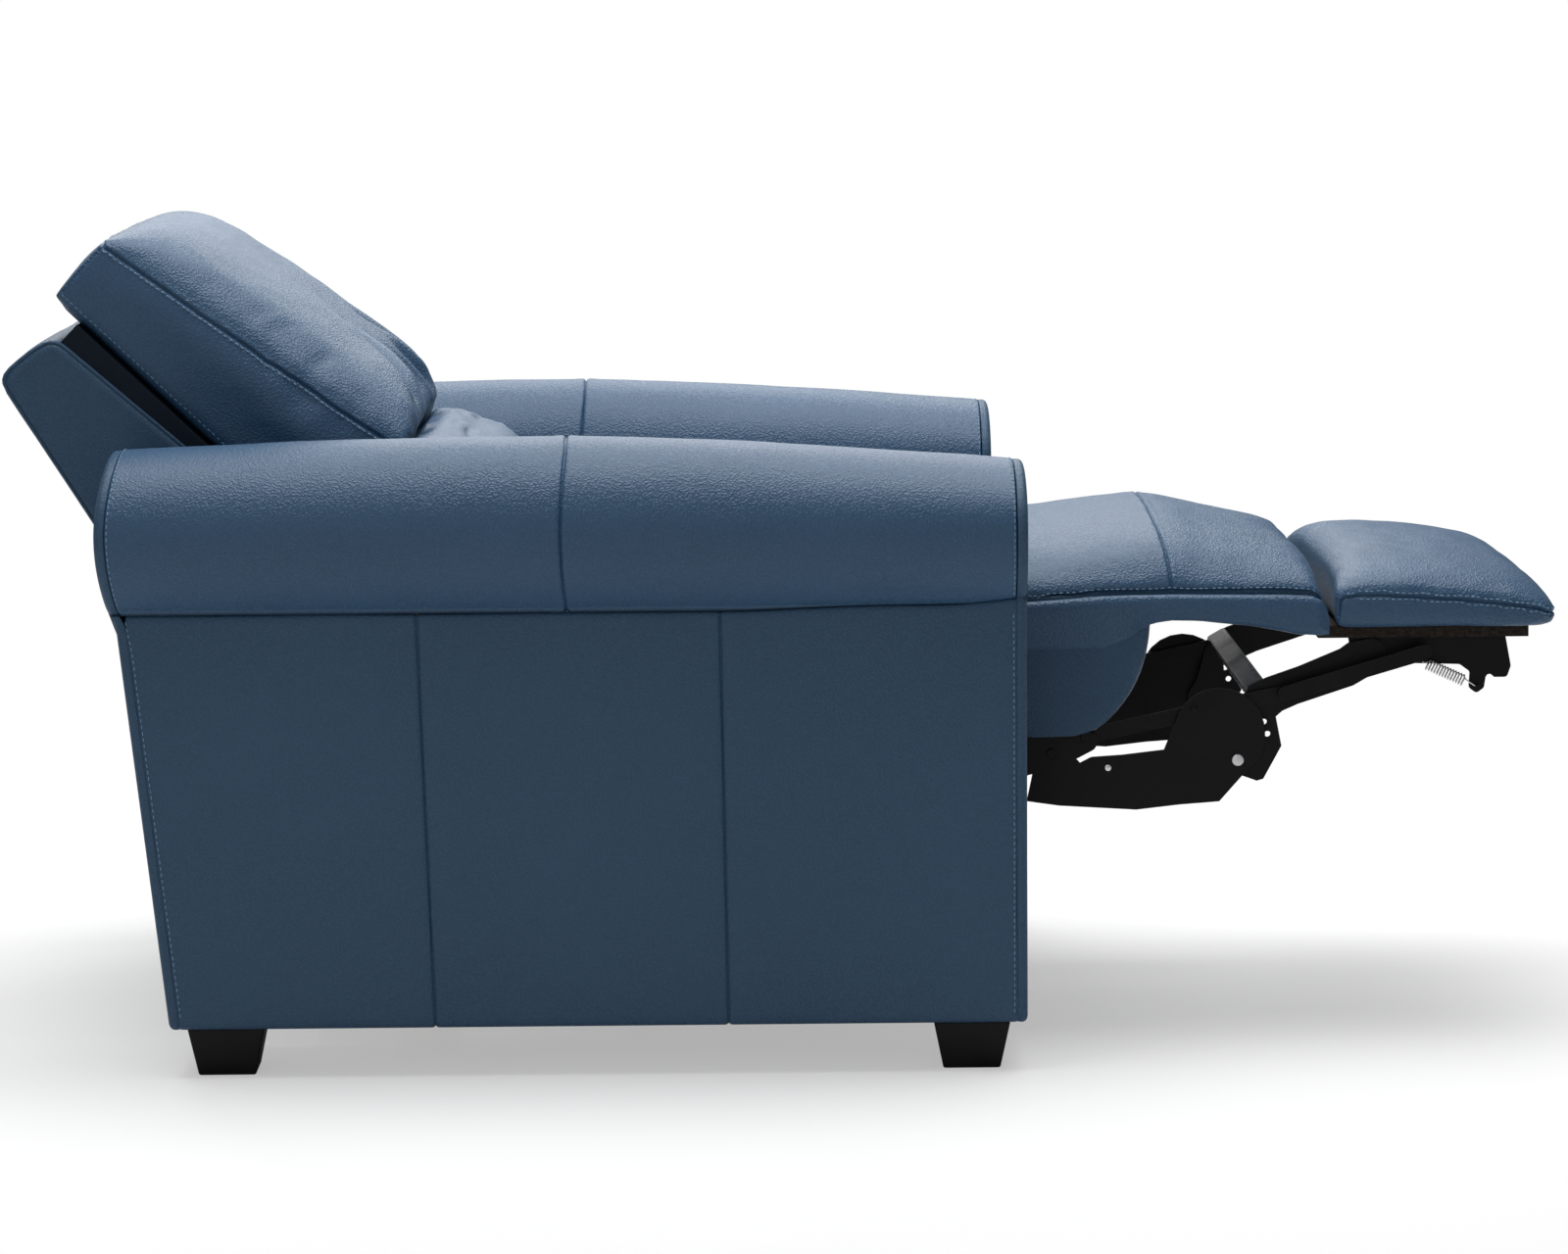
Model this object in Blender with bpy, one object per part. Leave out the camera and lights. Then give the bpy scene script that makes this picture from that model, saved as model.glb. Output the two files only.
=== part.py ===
"""Wall hugger recliner with rolled arms, drawn reclined and with its footrest open.

Metres. +X is the way the sitter faces, +Y the sitter's left, +Z up. The origin lies on the
floor under the middle of the open chair. Side -1 is the sitter's right, +1 the left.
"""

import math

import bmesh
import bpy
from mathutils import Matrix, Vector
from mathutils.geometry import tessellate_polygon

# Clearances
GAP = 0.0003
RUN = 0.0005
PLAY = 0.001

# Feet
FOOT_HEIGHT = 0.050
FOOT_TOP = 0.078
FOOT_BOTTOM = 0.058
FOOT_FRONT_INSET = 0.056
FOOT_REAR_INSET = 0.047

# Arms
ARM_GAP = 0.560
ARM_WIDTH = 0.200
ARM_LENGTH_AT_FLOOR = 0.860
ARM_FRONT = 0.240
ARM_REAR_LEAN = math.radians(7.5)
ARM_CREASE = 0.473
ARM_CREST = 0.645
ARM_CREST_FRONT_DROP = 0.028
ARM_CREST_REAR_DROP = 0.012
ROLL_OVERHANG = 0.031
ROLL_AXIS_ABOVE_CREASE = 0.077
ROLL_EDGE = 0.020
ROLL_REAR_PROUD = 0.006
COVER_WALL = 0.012
COVER_CORNER = 0.012
ARM_BOARD = 0.020

# Base rails, tracks and the recline links' tabs
RAIL_CLEAR = 0.006
FRONT_RAIL_X = 0.026
FRONT_RAIL_THICK = 0.040
FRONT_RAIL_TALL = 0.065
REAR_RAIL_X = -0.390
REAR_RAIL_DEEP = 0.110
REAR_RAIL_TALL = 0.042
TRACK_REAR = -0.350
TRACK_FRONT = 0.160
TRACK_STEEL = 0.003
TRACK_DEEP = 0.027
TRACK_FLOOR = 0.153
BOLT_HEAD = 0.006

# Rollers
ROLLER_RADIUS = 0.0165
ROLLER_WIDTH = 0.018
ROLLER_AXLE = 0.005
ROLLER_X = (0.100, -0.190)

# Seat
PLATE = 0.004
SEAT_BOX_CLEAR = 0.018
SKIRT = 0.005
SEAT_BOARD = 0.018
FRONT_BOARD = 0.028
SEAT_REAR = -0.198
SEAT_BOTTOM = 0.318
SEAT_TOP = 0.464
SEAT_PAD_REAR = -0.183
SEAT_PAD_CLEAR = 0.005
SEAT_CROWN = 0.068
KNEE_X = 0.389
KNEE_Z = 0.482

# Back
BACK_PIVOT = (-0.310, 0.410)
BACK_LEAN = math.radians(46.4)
BACK_CLEAR = 0.012
SPRING_WIRE = 0.0038

# Footrest
BOARD_REAR = 0.556
BOARD_FRONT = 0.776
BOARD_INSIDE_PAD = 0.0415
BOARD_BOTTOM = 0.4137
BOARD_THICK = 0.013
PAD_SPLIT = 0.560
TOE_X = 0.810
FOLD = math.radians(90)

# Footrest linkage: pivots on the carriage, between links and on the board's brackets
LONG_BEHIND_KNEE = 0.112
LONG_BELOW_SEAT = 0.023
GUIDE_AHEAD = 0.035
LONG_LINK_SHARE = 0.55593
CRANK_LINK_SHARE = 0.51105
GUIDE_ON_CRANK = (0.013, 0.062)
CRANK_ON_BOARD = (0.057, 0.0167)
LINK_ON_BOARD = (0.110, 0.0157)
PIN = 0.005
TORQUE_TUBE = 0.011
GUARD_BEHIND = 0.019
GUARD_ABOVE = 0.028
GUARD_RADIUS = 0.048
CROSSBAR = 0.024

# Recline drive and links, the carriage's travel and its tubes
GLIDE = 0.070
RECLINE = math.radians(25)
RECLINE_CRANK = (-0.310, 0.240)
RECLINE_FOOT = (-0.393, 0.139)
BACK_PIN = 0.006
ROD_Z = 0.140
ROD_RADIUS = 0.010
ROD_SLEEVE = 0.250
TUBE = 0.025
FRONT_TUBE = (0.120, 0.285)
REAR_TUBE = (-0.165, 0.300)
ROLLER_CLEAR = 0.0065
SIDE_RAIL_FRONT = 0.2995
SEAT_WIRES = 4
SEAT_WIRE_SPREAD = 0.170

# Switches on the right arm
SWITCH_X = 0.140
SWITCH_Z = 0.540
SWITCH_LONG = 0.070
SWITCH_TALL = 0.034
SWITCH_THICK = 0.005
ROCKER_LONG = 0.020
ROCKER_TALL = 0.012
ROCKER_DEEP = 0.005
ROCKER_CLEAR = 0.0015
ROCKER_DISH = 0.0012
ROCKER_PIN = 0.001
ROCKERS = {"footrest_rocker": 0.156, "recline_rocker": 0.124}

# Outer back, measured up and out from the back's pivot
COVER_FOOT = 0.072
COVER_TOP_REAR = 0.5588
COVER_TOP_FRONT = 0.5427
COVER_FRONT = -0.0541
COVER_REAR_LOW = -0.2863
COVER_REAR_HIGH = -0.1377
POST_FRONT = -0.0395
POST_REAR = -0.150

# Leg pad and springs under the footrest
LEG_SEAM_RISE = 0.0055
LEG_TROUGH_RISE = 0.0085
SIDE_FLAP = 0.0095
TOE_CROWN = 0.036
SPRING_ANCHOR = (0.6635, 0.3880)
HOOK = (0.724, 0.360)
SPRING_POST = 0.0025
SPRING_COIL = 0.013
SPRING_STEEL = 0.0016
SPRING_LEAD = 0.005
SPRING_TAIL = 0.012
SPRING_TURNS = 14
SPRING_POINTS = 8

# Derived places shared by several pieces
SEAT_BOX_HALF = ARM_GAP / 2 - SEAT_BOX_CLEAR
SEAT_PAD_HALF = ARM_GAP / 2 - SEAT_PAD_CLEAR
BACK_HALF = ARM_GAP / 2 - BACK_CLEAR
BOARD_HALF = SEAT_PAD_HALF - BOARD_INSIDE_PAD
ROLLER_OUT = ARM_GAP / 2 - ROLLER_CLEAR
PIVOT_LONG = (KNEE_X - LONG_BEHIND_KNEE, SEAT_BOTTOM - LONG_BELOW_SEAT)
PIVOT_CRANK_BOARD = (BOARD_REAR + CRANK_ON_BOARD[0], BOARD_BOTTOM - CRANK_ON_BOARD[1])
PIVOT_LINK_BOARD = (BOARD_REAR + LINK_ON_BOARD[0], BOARD_BOTTOM - LINK_ON_BOARD[1])
LONG_LINK = math.dist(PIVOT_LONG, PIVOT_CRANK_BOARD) * LONG_LINK_SHARE
CRANK_LINK = math.dist(PIVOT_LONG, PIVOT_CRANK_BOARD) * CRANK_LINK_SHARE
ARM_IN = ARM_GAP / 2
ARM_OUT = ARM_IN + ARM_WIDTH
PANEL_OUT = ARM_OUT - ROLL_OVERHANG
ARM_BOTTOM = FOOT_HEIGHT + GAP
ARM_REAR_FLOOR = ARM_FRONT - ARM_LENGTH_AT_FLOOR
PLATE_OUT = SEAT_BOX_HALF - SKIRT - GAP - SEAT_BOARD - RUN
LAYER = PLATE + PLAY
PAD_BOTTOM = SEAT_TOP + RUN
LEG_SEAM = PAD_BOTTOM + LEG_SEAM_RISE
LEG_TROUGH = LEG_SEAM + LEG_TROUGH_RISE

FINISHES = {
    "leather": ((0.055, 0.125, 0.215), 0.42, 0.0),
    "black_plastic": ((0.012, 0.012, 0.013), 0.45, 0.0),
    "black_steel": ((0.012, 0.012, 0.013), 0.5, 0.6),
    "grey_steel": ((0.09, 0.09, 0.09), 0.35, 0.8),
    "zinc": ((0.6, 0.6, 0.6), 0.3, 1.0),
    "wood": ((0.45, 0.31, 0.18), 0.7, 0.0),
    "dark_board": ((0.03, 0.022, 0.017), 0.8, 0.0),
}

pivots = {}


def clear_scene():
    for obj in list(bpy.data.objects):
        bpy.data.objects.remove(obj, do_unlink=True)


def finish(name):
    material = bpy.data.materials.get(name)
    if material is None:
        material = bpy.data.materials.new(name)
        material.use_nodes = True
        colour, roughness, metallic = FINISHES[name]
        shader = material.node_tree.nodes["Principled BSDF"]
        shader.inputs["Base Color"].default_value = (*colour, 1.0)
        shader.inputs["Roughness"].default_value = roughness
        shader.inputs["Metallic"].default_value = metallic
        material.diffuse_color = (*colour, 1.0)
    return material


def pivot(name, x, z, parent=None):
    """An empty on a joint's axis, which runs along Y unless the joint is a slide."""
    empty = bpy.data.objects.new(f"{name}_axis", None)
    bpy.context.scene.collection.objects.link(empty)
    empty.empty_display_size = 0.03
    place = Vector((x, 0.0, z))
    empty.parent = pivots[parent][0] if parent else None
    empty.location = place - pivots[parent][1] if parent else place
    pivots[name] = (empty, place)


def add(name, material, body, data):
    """Puts a mesh or curve given in chair coordinates under its body's empty."""
    empty, place = pivots[body]
    data.transform(Matrix.Translation(-place))
    data.materials.append(finish(material))
    obj = bpy.data.objects.new(name, data)
    bpy.context.scene.collection.objects.link(obj)
    obj.parent = empty
    return obj


def mesh_of(name, solids, smooth=None):
    """One mesh from solids, each a list of points and a list of faces."""
    bm = bmesh.new()
    for points, faces in solids:
        made = [bm.verts.new(point) for point in points]
        for face in faces:
            bm.faces.new([made[i] for i in face])
    bmesh.ops.recalc_face_normals(bm, faces=bm.faces)
    mesh = bpy.data.meshes.new(name)
    bm.to_mesh(mesh)
    bm.free()
    if smooth:
        mesh.shade_smooth()
        mesh.set_sharp_from_angle(angle=math.radians(smooth))
    return mesh


def arc(centre, radius, start, end, steps):
    """Points on an arc, angles in degrees from the first axis towards the second."""
    turn = (end - start) / steps
    angles = [math.radians(start + turn * i) for i in range(steps + 1)]
    return [(centre[0] + radius * math.cos(a), centre[1] + radius * math.sin(a)) for a in angles]


def circle(centre, radius, steps=16):
    return arc(centre, radius, 0, 360, steps)[:-1]


def rounded(corners, steps=3):
    """An outline from (first, second, radius) corners, each one turned into an arc."""
    outline = []
    count = len(corners)
    for i, (a, b, radius) in enumerate(corners):
        here = Vector((a, b))
        if not radius:
            outline.append((a, b))
            continue
        before = (Vector(corners[i - 1][:2]) - here).normalized()
        after = (Vector(corners[(i + 1) % count][:2]) - here).normalized()
        half = before.angle(after) / 2
        reach = radius / math.tan(half)
        centre = here + (before + after).normalized() * radius / math.sin(half)
        first = here + before * reach - centre
        turn = first.angle_signed(here + after * reach - centre)
        for k in range(steps + 1):
            point = first.copy()
            point.rotate(Matrix.Rotation(-turn * k / steps, 2))
            outline.append(tuple(centre + point))
    return outline


def along(axis, p, q, r):
    """A point from its two outline values and its place along the extrusion's axis."""
    return {"X": (r, p, q), "Y": (p, r, q), "Z": (p, q, r)}[axis]


def prism(outline, low, high, holes=(), studs=(), axis="Y"):
    """An extruded outline with through holes, and studs (centre, radius, end) on its faces."""
    low, high = min(low, high), max(low, high)
    points = []
    faces = []

    def ring(loop, level):
        start = len(points)
        points.extend(along(axis, p, q, level) for p, q in loop)
        return list(range(start, start + len(loop)))

    def wall(first, second):
        count = len(first)
        for i in range(count):
            j = (i + 1) % count
            faces.append((first[i], first[j], second[j], second[i]))

    def cap(rings):
        loops = [[Vector(points[i]) for i in loop] for loop in rings]
        flat = [i for loop in rings for i in loop]
        faces.extend(tuple(flat[k] for k in face) for face in tessellate_polygon(loops))

    open_loops = [outline, *holes]
    bottom = [ring(loop, low) for loop in open_loops]
    top = [ring(loop, high) for loop in open_loops]
    for first, second in zip(bottom, top):
        wall(first, second)
    for centre, radius, end in studs:
        base = low if end < low else high
        foot = ring(circle(centre, radius, 12), base)
        tip = ring(circle(centre, radius, 12), end)
        wall(foot, tip)
        cap([tip])
        (bottom if end < low else top).append(foot)
    cap(bottom)
    cap(top)
    return points, faces


def block(x, y, z):
    """A plain box from three pairs of limits."""
    outline = [(x[0], z[0]), (x[1], z[0]), (x[1], z[1]), (x[0], z[1])]
    return prism(outline, y[0], y[1])


def soft_block(x, y, z, edge):
    """A box whose four edges along Y are rounded."""
    corners = [(x[0], z[0], edge), (x[1], z[0], edge), (x[1], z[1], edge), (x[0], z[1], edge)]
    return prism(rounded(corners, 2), y[0], y[1])


def loft(rings):
    """A closed solid through rings of equally many points, with flat ends."""
    points = [point for ring in rings for point in ring]
    count = len(rings[0])
    faces = []
    for k in range(len(rings) - 1):
        for i in range(count):
            j = (i + 1) % count
            faces.append((k * count + i, k * count + j, (k + 1) * count + j, (k + 1) * count + i))
    for start in (0, (len(rings) - 1) * count):
        loop = [Vector(point) for point in points[start : start + count]]
        faces.extend(tuple(start + i for i in face) for face in tessellate_polygon([loop]))
    return points, faces


def turned(point, angle):
    """A vector in the XZ plane turned about +Y, which takes +Z towards +X."""
    x, z = point
    return x * math.cos(angle) + z * math.sin(angle), z * math.cos(angle) - x * math.sin(angle)


def between(start, end, share):
    return start + (end - start) * share


def on_side(side, inner, depth=0.0):
    """The Y limits of a piece on one side, from its inner face and its depth outwards."""
    return sorted((side * inner, side * (inner + depth)))


def side_name(side):
    return "right" if side < 0 else "left"


def heading(start, end):
    """The angle of a line about +Y, counted from +X."""
    return math.atan2(start[1] - end[1], end[0] - start[0])


def moved(point, centre, angle):
    x, z = turned((point[0] - centre[0], point[1] - centre[1]), angle)
    return centre[0] + x, centre[1] + z


def folded(point):
    """Where a point of the open footrest lies once the footrest is folded down."""
    return moved(point, (KNEE_X, KNEE_Z), FOLD)


def lower_crossing(first, first_radius, second, second_radius):
    """The lower of the two points at given distances from two centres."""
    gap = math.dist(first, second)
    reach = (first_radius**2 - second_radius**2 + gap**2) / (2 * gap)
    height = math.sqrt(first_radius**2 - reach**2)
    ux, uz = (second[0] - first[0]) / gap, (second[1] - first[1]) / gap
    foot = (first[0] + reach * ux, first[1] + reach * uz)
    sides = [(foot[0] - s * height * uz, foot[1] + s * height * ux) for s in (-1, 1)]
    return min(sides, key=lambda point: point[1])


def solve_linkage():
    """Places the guide and board links so that they close both open and folded."""
    crank_folded = lower_crossing(PIVOT_LONG, LONG_LINK, folded(PIVOT_CRANK_BOARD), CRANK_LINK)
    crank_turn = heading(crank_folded, folded(PIVOT_CRANK_BOARD)) - heading(
        PIVOT_LONG_CRANK, PIVOT_CRANK_BOARD
    )
    offset = turned([a - b for a, b in zip(PIVOT_GUIDE_CRANK, PIVOT_LONG_CRANK)], crank_turn)
    guide_folded = (crank_folded[0] + offset[0], crank_folded[1] + offset[1])
    middle = [(a + b) / 2 for a, b in zip(PIVOT_GUIDE_CRANK, guide_folded)]
    step = [a - b for a, b in zip(PIVOT_GUIDE_CRANK, guide_folded)]
    guide_x = PIVOT_LONG[0] + GUIDE_AHEAD
    guide_z = middle[1] - (guide_x - middle[0]) * step[0] / step[1]
    guide = (guide_x, guide_z)
    arm_open = Vector(PIVOT_GUIDE_CRANK) - Vector(guide)
    arm_folded = Vector(guide_folded) - Vector(guide)
    to_open = Vector(guide) - Vector(PIVOT_LINK_BOARD)
    to_folded = Vector(guide) - Vector(folded(PIVOT_LINK_BOARD))
    share = (
        (to_folded.length_squared - to_open.length_squared)
        / 2
        / (arm_open.dot(to_open) - arm_folded.dot(to_folded))
    )
    tip = Vector(guide) + share * arm_open
    return guide, tuple(tip)


def back_point(up, out):
    """A point in the XZ plane from its height along the back and its depth to the front."""
    sine, cosine = math.sin(BACK_LEAN), math.cos(BACK_LEAN)
    x = BACK_PIVOT[0] - sine * up + cosine * out
    z = BACK_PIVOT[1] + cosine * up + sine * out
    return x, z


def crowned(half, low, seam, top, valley=0.0, trough=None):
    """A pad's cross-section: drawn-in sides up to a seam, then a crown from side to side."""
    tuck = 0.008
    side = [(half - tuck, low), (half, low + tuck), (half, seam)]
    if trough is not None:
        side = [(half - SIDE_FLAP, trough), (half - SIDE_FLAP, low), (half, low), (half, seam)]
    crown = []
    for degrees in range(72, -73, -16):
        share = math.sin(math.radians(degrees))
        rise = (1 - abs(share) ** 2.6) ** 0.55
        dip = valley * math.exp(-((share / 0.22) ** 2))
        crown.append((half * share, seam + (top - seam) * rise - dip))
    return side + crown + [(-y, h) for y, h in reversed(side)]


def flat_pad(stations):
    """A pad lofted along X from (x, half, low, seam, top) stations."""
    return loft([[(x, y, z) for y, z in crowned(*rest)] for x, *rest in stations])


def leaning_pad(stations):
    """A pad lofted up the back from (height, half, rear, seam, front, valley) stations."""
    rings = []
    for up, *rest in stations:
        ring = []
        for y, out in crowned(*rest):
            x, z = back_point(up, out)
            ring.append((x, y, z))
        rings.append(ring)
    return loft(rings)


def wires(name, material, body, paths, thickness, resolution=0):
    """Round wires along straight-sided paths, one closed tube each."""
    curve = bpy.data.curves.new(name, "CURVE")
    curve.dimensions = "3D"
    curve.bevel_depth = thickness / 2
    curve.bevel_resolution = resolution
    curve.use_fill_caps = True
    for path in paths:
        spline = curve.splines.new("POLY")
        spline.points.add(len(path) - 1)
        for slot, point in zip(spline.points, path):
            slot.co = (*point, 1.0)
    return add(name, material, body, curve)


def zigzag(start, end, sway, sway_axis, steps):
    """A flat wavy wire's path, with its ends on the line from start to end."""
    path = []
    for i in range(steps + 1):
        point = Vector(start).lerp(Vector(end), i / steps)
        if 0 < i < steps:
            point += Vector(sway_axis) * (sway if i % 2 else -sway)
        path.append(tuple(point))
    return path


def solid(name, material, body, parts, smooth=None):
    """One object from overlapping shapes: the later ones are united with the first."""
    obj = add(name, material, body, mesh_of(name, parts[:1], smooth))
    for i, part in enumerate(parts[1:], 2):
        operand = add(f"{name}_shape_{i}", material, body, mesh_of(name, [part], smooth))
        operand.hide_render = True
        operand.display_type = "WIRE"
        union = obj.modifiers.new(f"join shape {i}", "BOOLEAN")
        union.operation = "UNION"
        union.object = operand
    return obj


def arm_rear(z):
    return ARM_REAR_FLOOR - (z - ARM_BOTTOM) * math.tan(ARM_REAR_LEAN)


def roll_section(side, x, crest, inset):
    """The padded roll's D-shaped cross-section, its flat side towards the seat."""
    centre_y = ARM_IN + ARM_WIDTH / 2
    centre_z = ARM_CREASE + ROLL_AXIS_ABOVE_CREASE
    wide = ARM_WIDTH / 2 - inset
    tall = crest - inset - centre_z
    low = ARM_CREASE + GAP
    points = [(centre_y - wide, low)]
    for degrees in range(180, -51, -15):
        angle = math.radians(degrees)
        rise = tall if degrees > 0 else wide
        points.append((centre_y + wide * math.cos(angle), centre_z + rise * math.sin(angle)))
    points.append((PANEL_OUT - inset, low))
    return [(x, side * y, z) for y, z in points]


def arm_roll(side):
    middle = (ARM_FRONT + arm_rear(ARM_CREST)) / 2
    front = ARM_FRONT
    rear = arm_rear(ARM_CREASE) - ROLL_REAR_PROUD
    low_front = ARM_CREST - ARM_CREST_FRONT_DROP
    low_rear = ARM_CREST - ARM_CREST_REAR_DROP
    edge = ROLL_EDGE
    stations = [
        (front, low_front, 0.4 * edge),
        (front - 0.3 * edge, low_front, 0.12 * edge),
        (front - edge, between(low_front, ARM_CREST, 0.1), 0.0),
        (between(front, middle, 0.45), between(low_front, ARM_CREST, 0.7), 0.0),
        (middle, ARM_CREST, 0.0),
        (between(middle, rear, 0.55), between(ARM_CREST, low_rear, 0.3), 0.0),
        (rear + edge, between(ARM_CREST, low_rear, 0.9), 0.0),
        (rear + 0.3 * edge, low_rear, 0.12 * edge),
        (rear, low_rear, 0.4 * edge),
    ]
    solid(
        f"{side_name(side)}_arm_roll",
        "leather",
        "base",
        [loft([roll_section(side, *station) for station in stations])],
        smooth=40,
    )


def arm_cover(side):
    """The leather-covered sleeve round the arm's frame, open above and below."""
    corner = COVER_CORNER
    y_in, y_out = side * ARM_IN, side * PANEL_OUT
    wall = COVER_WALL
    outer = [
        (ARM_REAR_FLOOR, y_in, corner),
        (ARM_FRONT, y_in, corner),
        (ARM_FRONT, y_out, corner),
        (ARM_REAR_FLOOR, y_out, corner),
    ]
    inner = [
        (ARM_REAR_FLOOR + wall, y_in + side * wall),
        (ARM_FRONT - wall, y_in + side * wall),
        (ARM_FRONT - wall, y_out - side * wall),
        (ARM_REAR_FLOOR + wall, y_out - side * wall),
    ]
    points, faces = prism(rounded(outer), ARM_BOTTOM, ARM_CREASE, [inner], axis="Z")
    leant = []
    for x, y, z in points:
        behind = x < (ARM_FRONT + ARM_REAR_FLOOR) / 2
        leant.append((x + arm_rear(z) - ARM_REAR_FLOOR if behind else x, y, z))
    solid(f"{side_name(side)}_arm_cover", "leather", "base", [(leant, faces)], smooth=40)


def arm_frame(side):
    """The board box inside the arm, open at its sides: the feet screw into its floor."""
    y = on_side(side, ARM_IN + COVER_WALL + GAP, PANEL_OUT - ARM_IN - 2 * COVER_WALL - 2 * GAP)
    low, high = ARM_BOTTOM + GAP, ARM_CREASE - GAP
    front = ARM_FRONT - COVER_WALL - GAP
    loops = []
    for inset in (0.0, ARM_BOARD):
        rear = COVER_WALL + GAP + inset
        bottom, top = low + inset, high - inset
        loops.append([
            (arm_rear(bottom) + rear, bottom),
            (front - inset, bottom),
            (front - inset, top),
            (arm_rear(top) + rear, top),
        ])
    solid(f"{side_name(side)}_arm_frame", "wood", "base", [prism(loops[0], *y, loops[1:])])


def foot(side, end):
    """A tapered block foot, its screw face against the arm's lowest board."""
    half_top, half_low = FOOT_TOP / 2, FOOT_BOTTOM / 2
    if end == "front":
        x = ARM_FRONT - FOOT_FRONT_INSET
    else:
        x = ARM_REAR_FLOOR + FOOT_REAR_INSET
    y = side * (PANEL_OUT - COVER_WALL - half_top)
    rings = []
    for half, z in ((half_low, 0.0), (half_top, FOOT_HEIGHT)):
        square = ((-half, -half), (half, -half), (half, half), (-half, half))
        rings.append([(x + dx, y + dy, z) for dx, dy in square])
    solid(f"{end}_{side_name(side)}_foot", "black_plastic", "base", [loft(rings)])


def track(side):
    """A steel channel, open towards the seat, bolted to the arm's inner face."""
    web = ARM_IN - GAP
    steel = TRACK_STEEL
    low, high = TRACK_FLOOR - steel, TRACK_FLOOR + 2 * ROLLER_RADIUS + 2 * GAP + steel
    lip = web - TRACK_DEEP
    section = [
        (lip, low),
        (web, low),
        (web, high),
        (lip, high),
        (lip, high - steel),
        (web - steel, high - steel),
        (web - steel, low + steel),
        (lip, low + steel),
    ]
    parts = [prism([(side * y, z) for y, z in section], TRACK_REAR, TRACK_FRONT, axis="X")]
    middle = (low + high) / 2
    for share in (0.03, 0.53, 0.97):
        centre = (between(TRACK_REAR, TRACK_FRONT, share), middle)
        head = on_side(side, web - 2 * steel, 1.5 * steel)
        parts.append(prism(circle(centre, BOLT_HEAD, 6), *head))
    solid(f"{side_name(side)}_track", "black_steel", "base", parts)


def layer(side, place, plates=1):
    """The Y limits of a steel plate, counted inwards from the carriage's side plate."""
    outer = PLATE_OUT - place * LAYER
    return sorted((side * outer, side * (outer - PLATE - (plates - 1) * LAYER)))


def layer_outer(side, place):
    return side * (PLATE_OUT - place * LAYER)


def base_rails():
    y = ARM_IN - GAP
    low = ARM_BOTTOM + RAIL_CLEAR
    half = FRONT_RAIL_THICK / 2
    front = block((FRONT_RAIL_X - half, FRONT_RAIL_X + half), (-y, y), (low, low + FRONT_RAIL_TALL))
    solid("front_rail", "wood", "base", [front])
    half = REAR_RAIL_DEEP / 2
    top = low + REAR_RAIL_TALL
    rear = block((REAR_RAIL_X - half, REAR_RAIL_X + half), (-y, y), (low, top))
    solid("rear_rail", "wood", "base", [rear])
    x, z = RECLINE_FOOT
    strip_top = top + GAP + PLATE
    reach = layer_outer(1, 3)
    bracket = [block((x - 0.022, x + 0.022), (-reach, reach), (top + GAP, strip_top))]
    for side in (-1, 1):
        outline = rounded([
            (x - 0.022, top + GAP, 0),
            (x + 0.022, top + GAP, 0),
            (x + 0.013, z + 0.013, 0.010),
            (x - 0.013, z + 0.013, 0.010),
        ])
        bracket.append(prism(outline, *layer(side, 3), holes=[circle((x, z), PIN + RUN, 12)]))
    solid("recline_bracket", "black_steel", "base", bracket)
    return strip_top


def recline_drive(rail_top):
    """The linear motor on the rear rail, and its rod that pushes the carriage."""
    z = ROD_Z
    rear = REAR_RAIL_X - REAR_RAIL_DEEP / 2 + 0.005
    front = REAR_RAIL_X + REAR_RAIL_DEEP / 2
    case = soft_block((rear, front), (-0.038, 0.038), (rail_top + GAP, z + 0.030), 0.008)
    start = front + GAP
    sleeve = prism(
        circle((0.0, z), ROD_RADIUS + 0.006),
        front - 0.002,
        start + ROD_SLEEVE,
        [circle((0.0, z), ROD_RADIUS + RUN)],
        axis="X",
    )
    solid("recline_motor", "black_plastic", "base", [case, sleeve], smooth=30)
    lug_face = FRONT_TUBE[0] - TUBE / 2
    rod = prism(circle((0.0, z), ROD_RADIUS), start + GLIDE + PLAY, lug_face - GAP, axis="X")
    solid("recline_rod", "zinc", "carriage", [rod], smooth=30)


def control_box(rail_top):
    """The power supply on the rear rail, with the inlet for the mains lead at its rear."""
    x = (REAR_RAIL_X - 0.045, REAR_RAIL_X + 0.050)
    y = (0.085, 0.155)
    z = (rail_top + GAP, rail_top + 0.040)
    middle = ((y[0] + y[1]) / 2, (z[0] + z[1]) / 2)
    case = soft_block(x, y, z, 0.004)
    collar = prism(
        circle(middle, 0.012), x[0] + 0.002, x[0] - 0.010, [circle(middle, 0.009)], axis="X"
    )
    solid("control_box", "black_plastic", "base", [case, collar], smooth=30)


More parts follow.
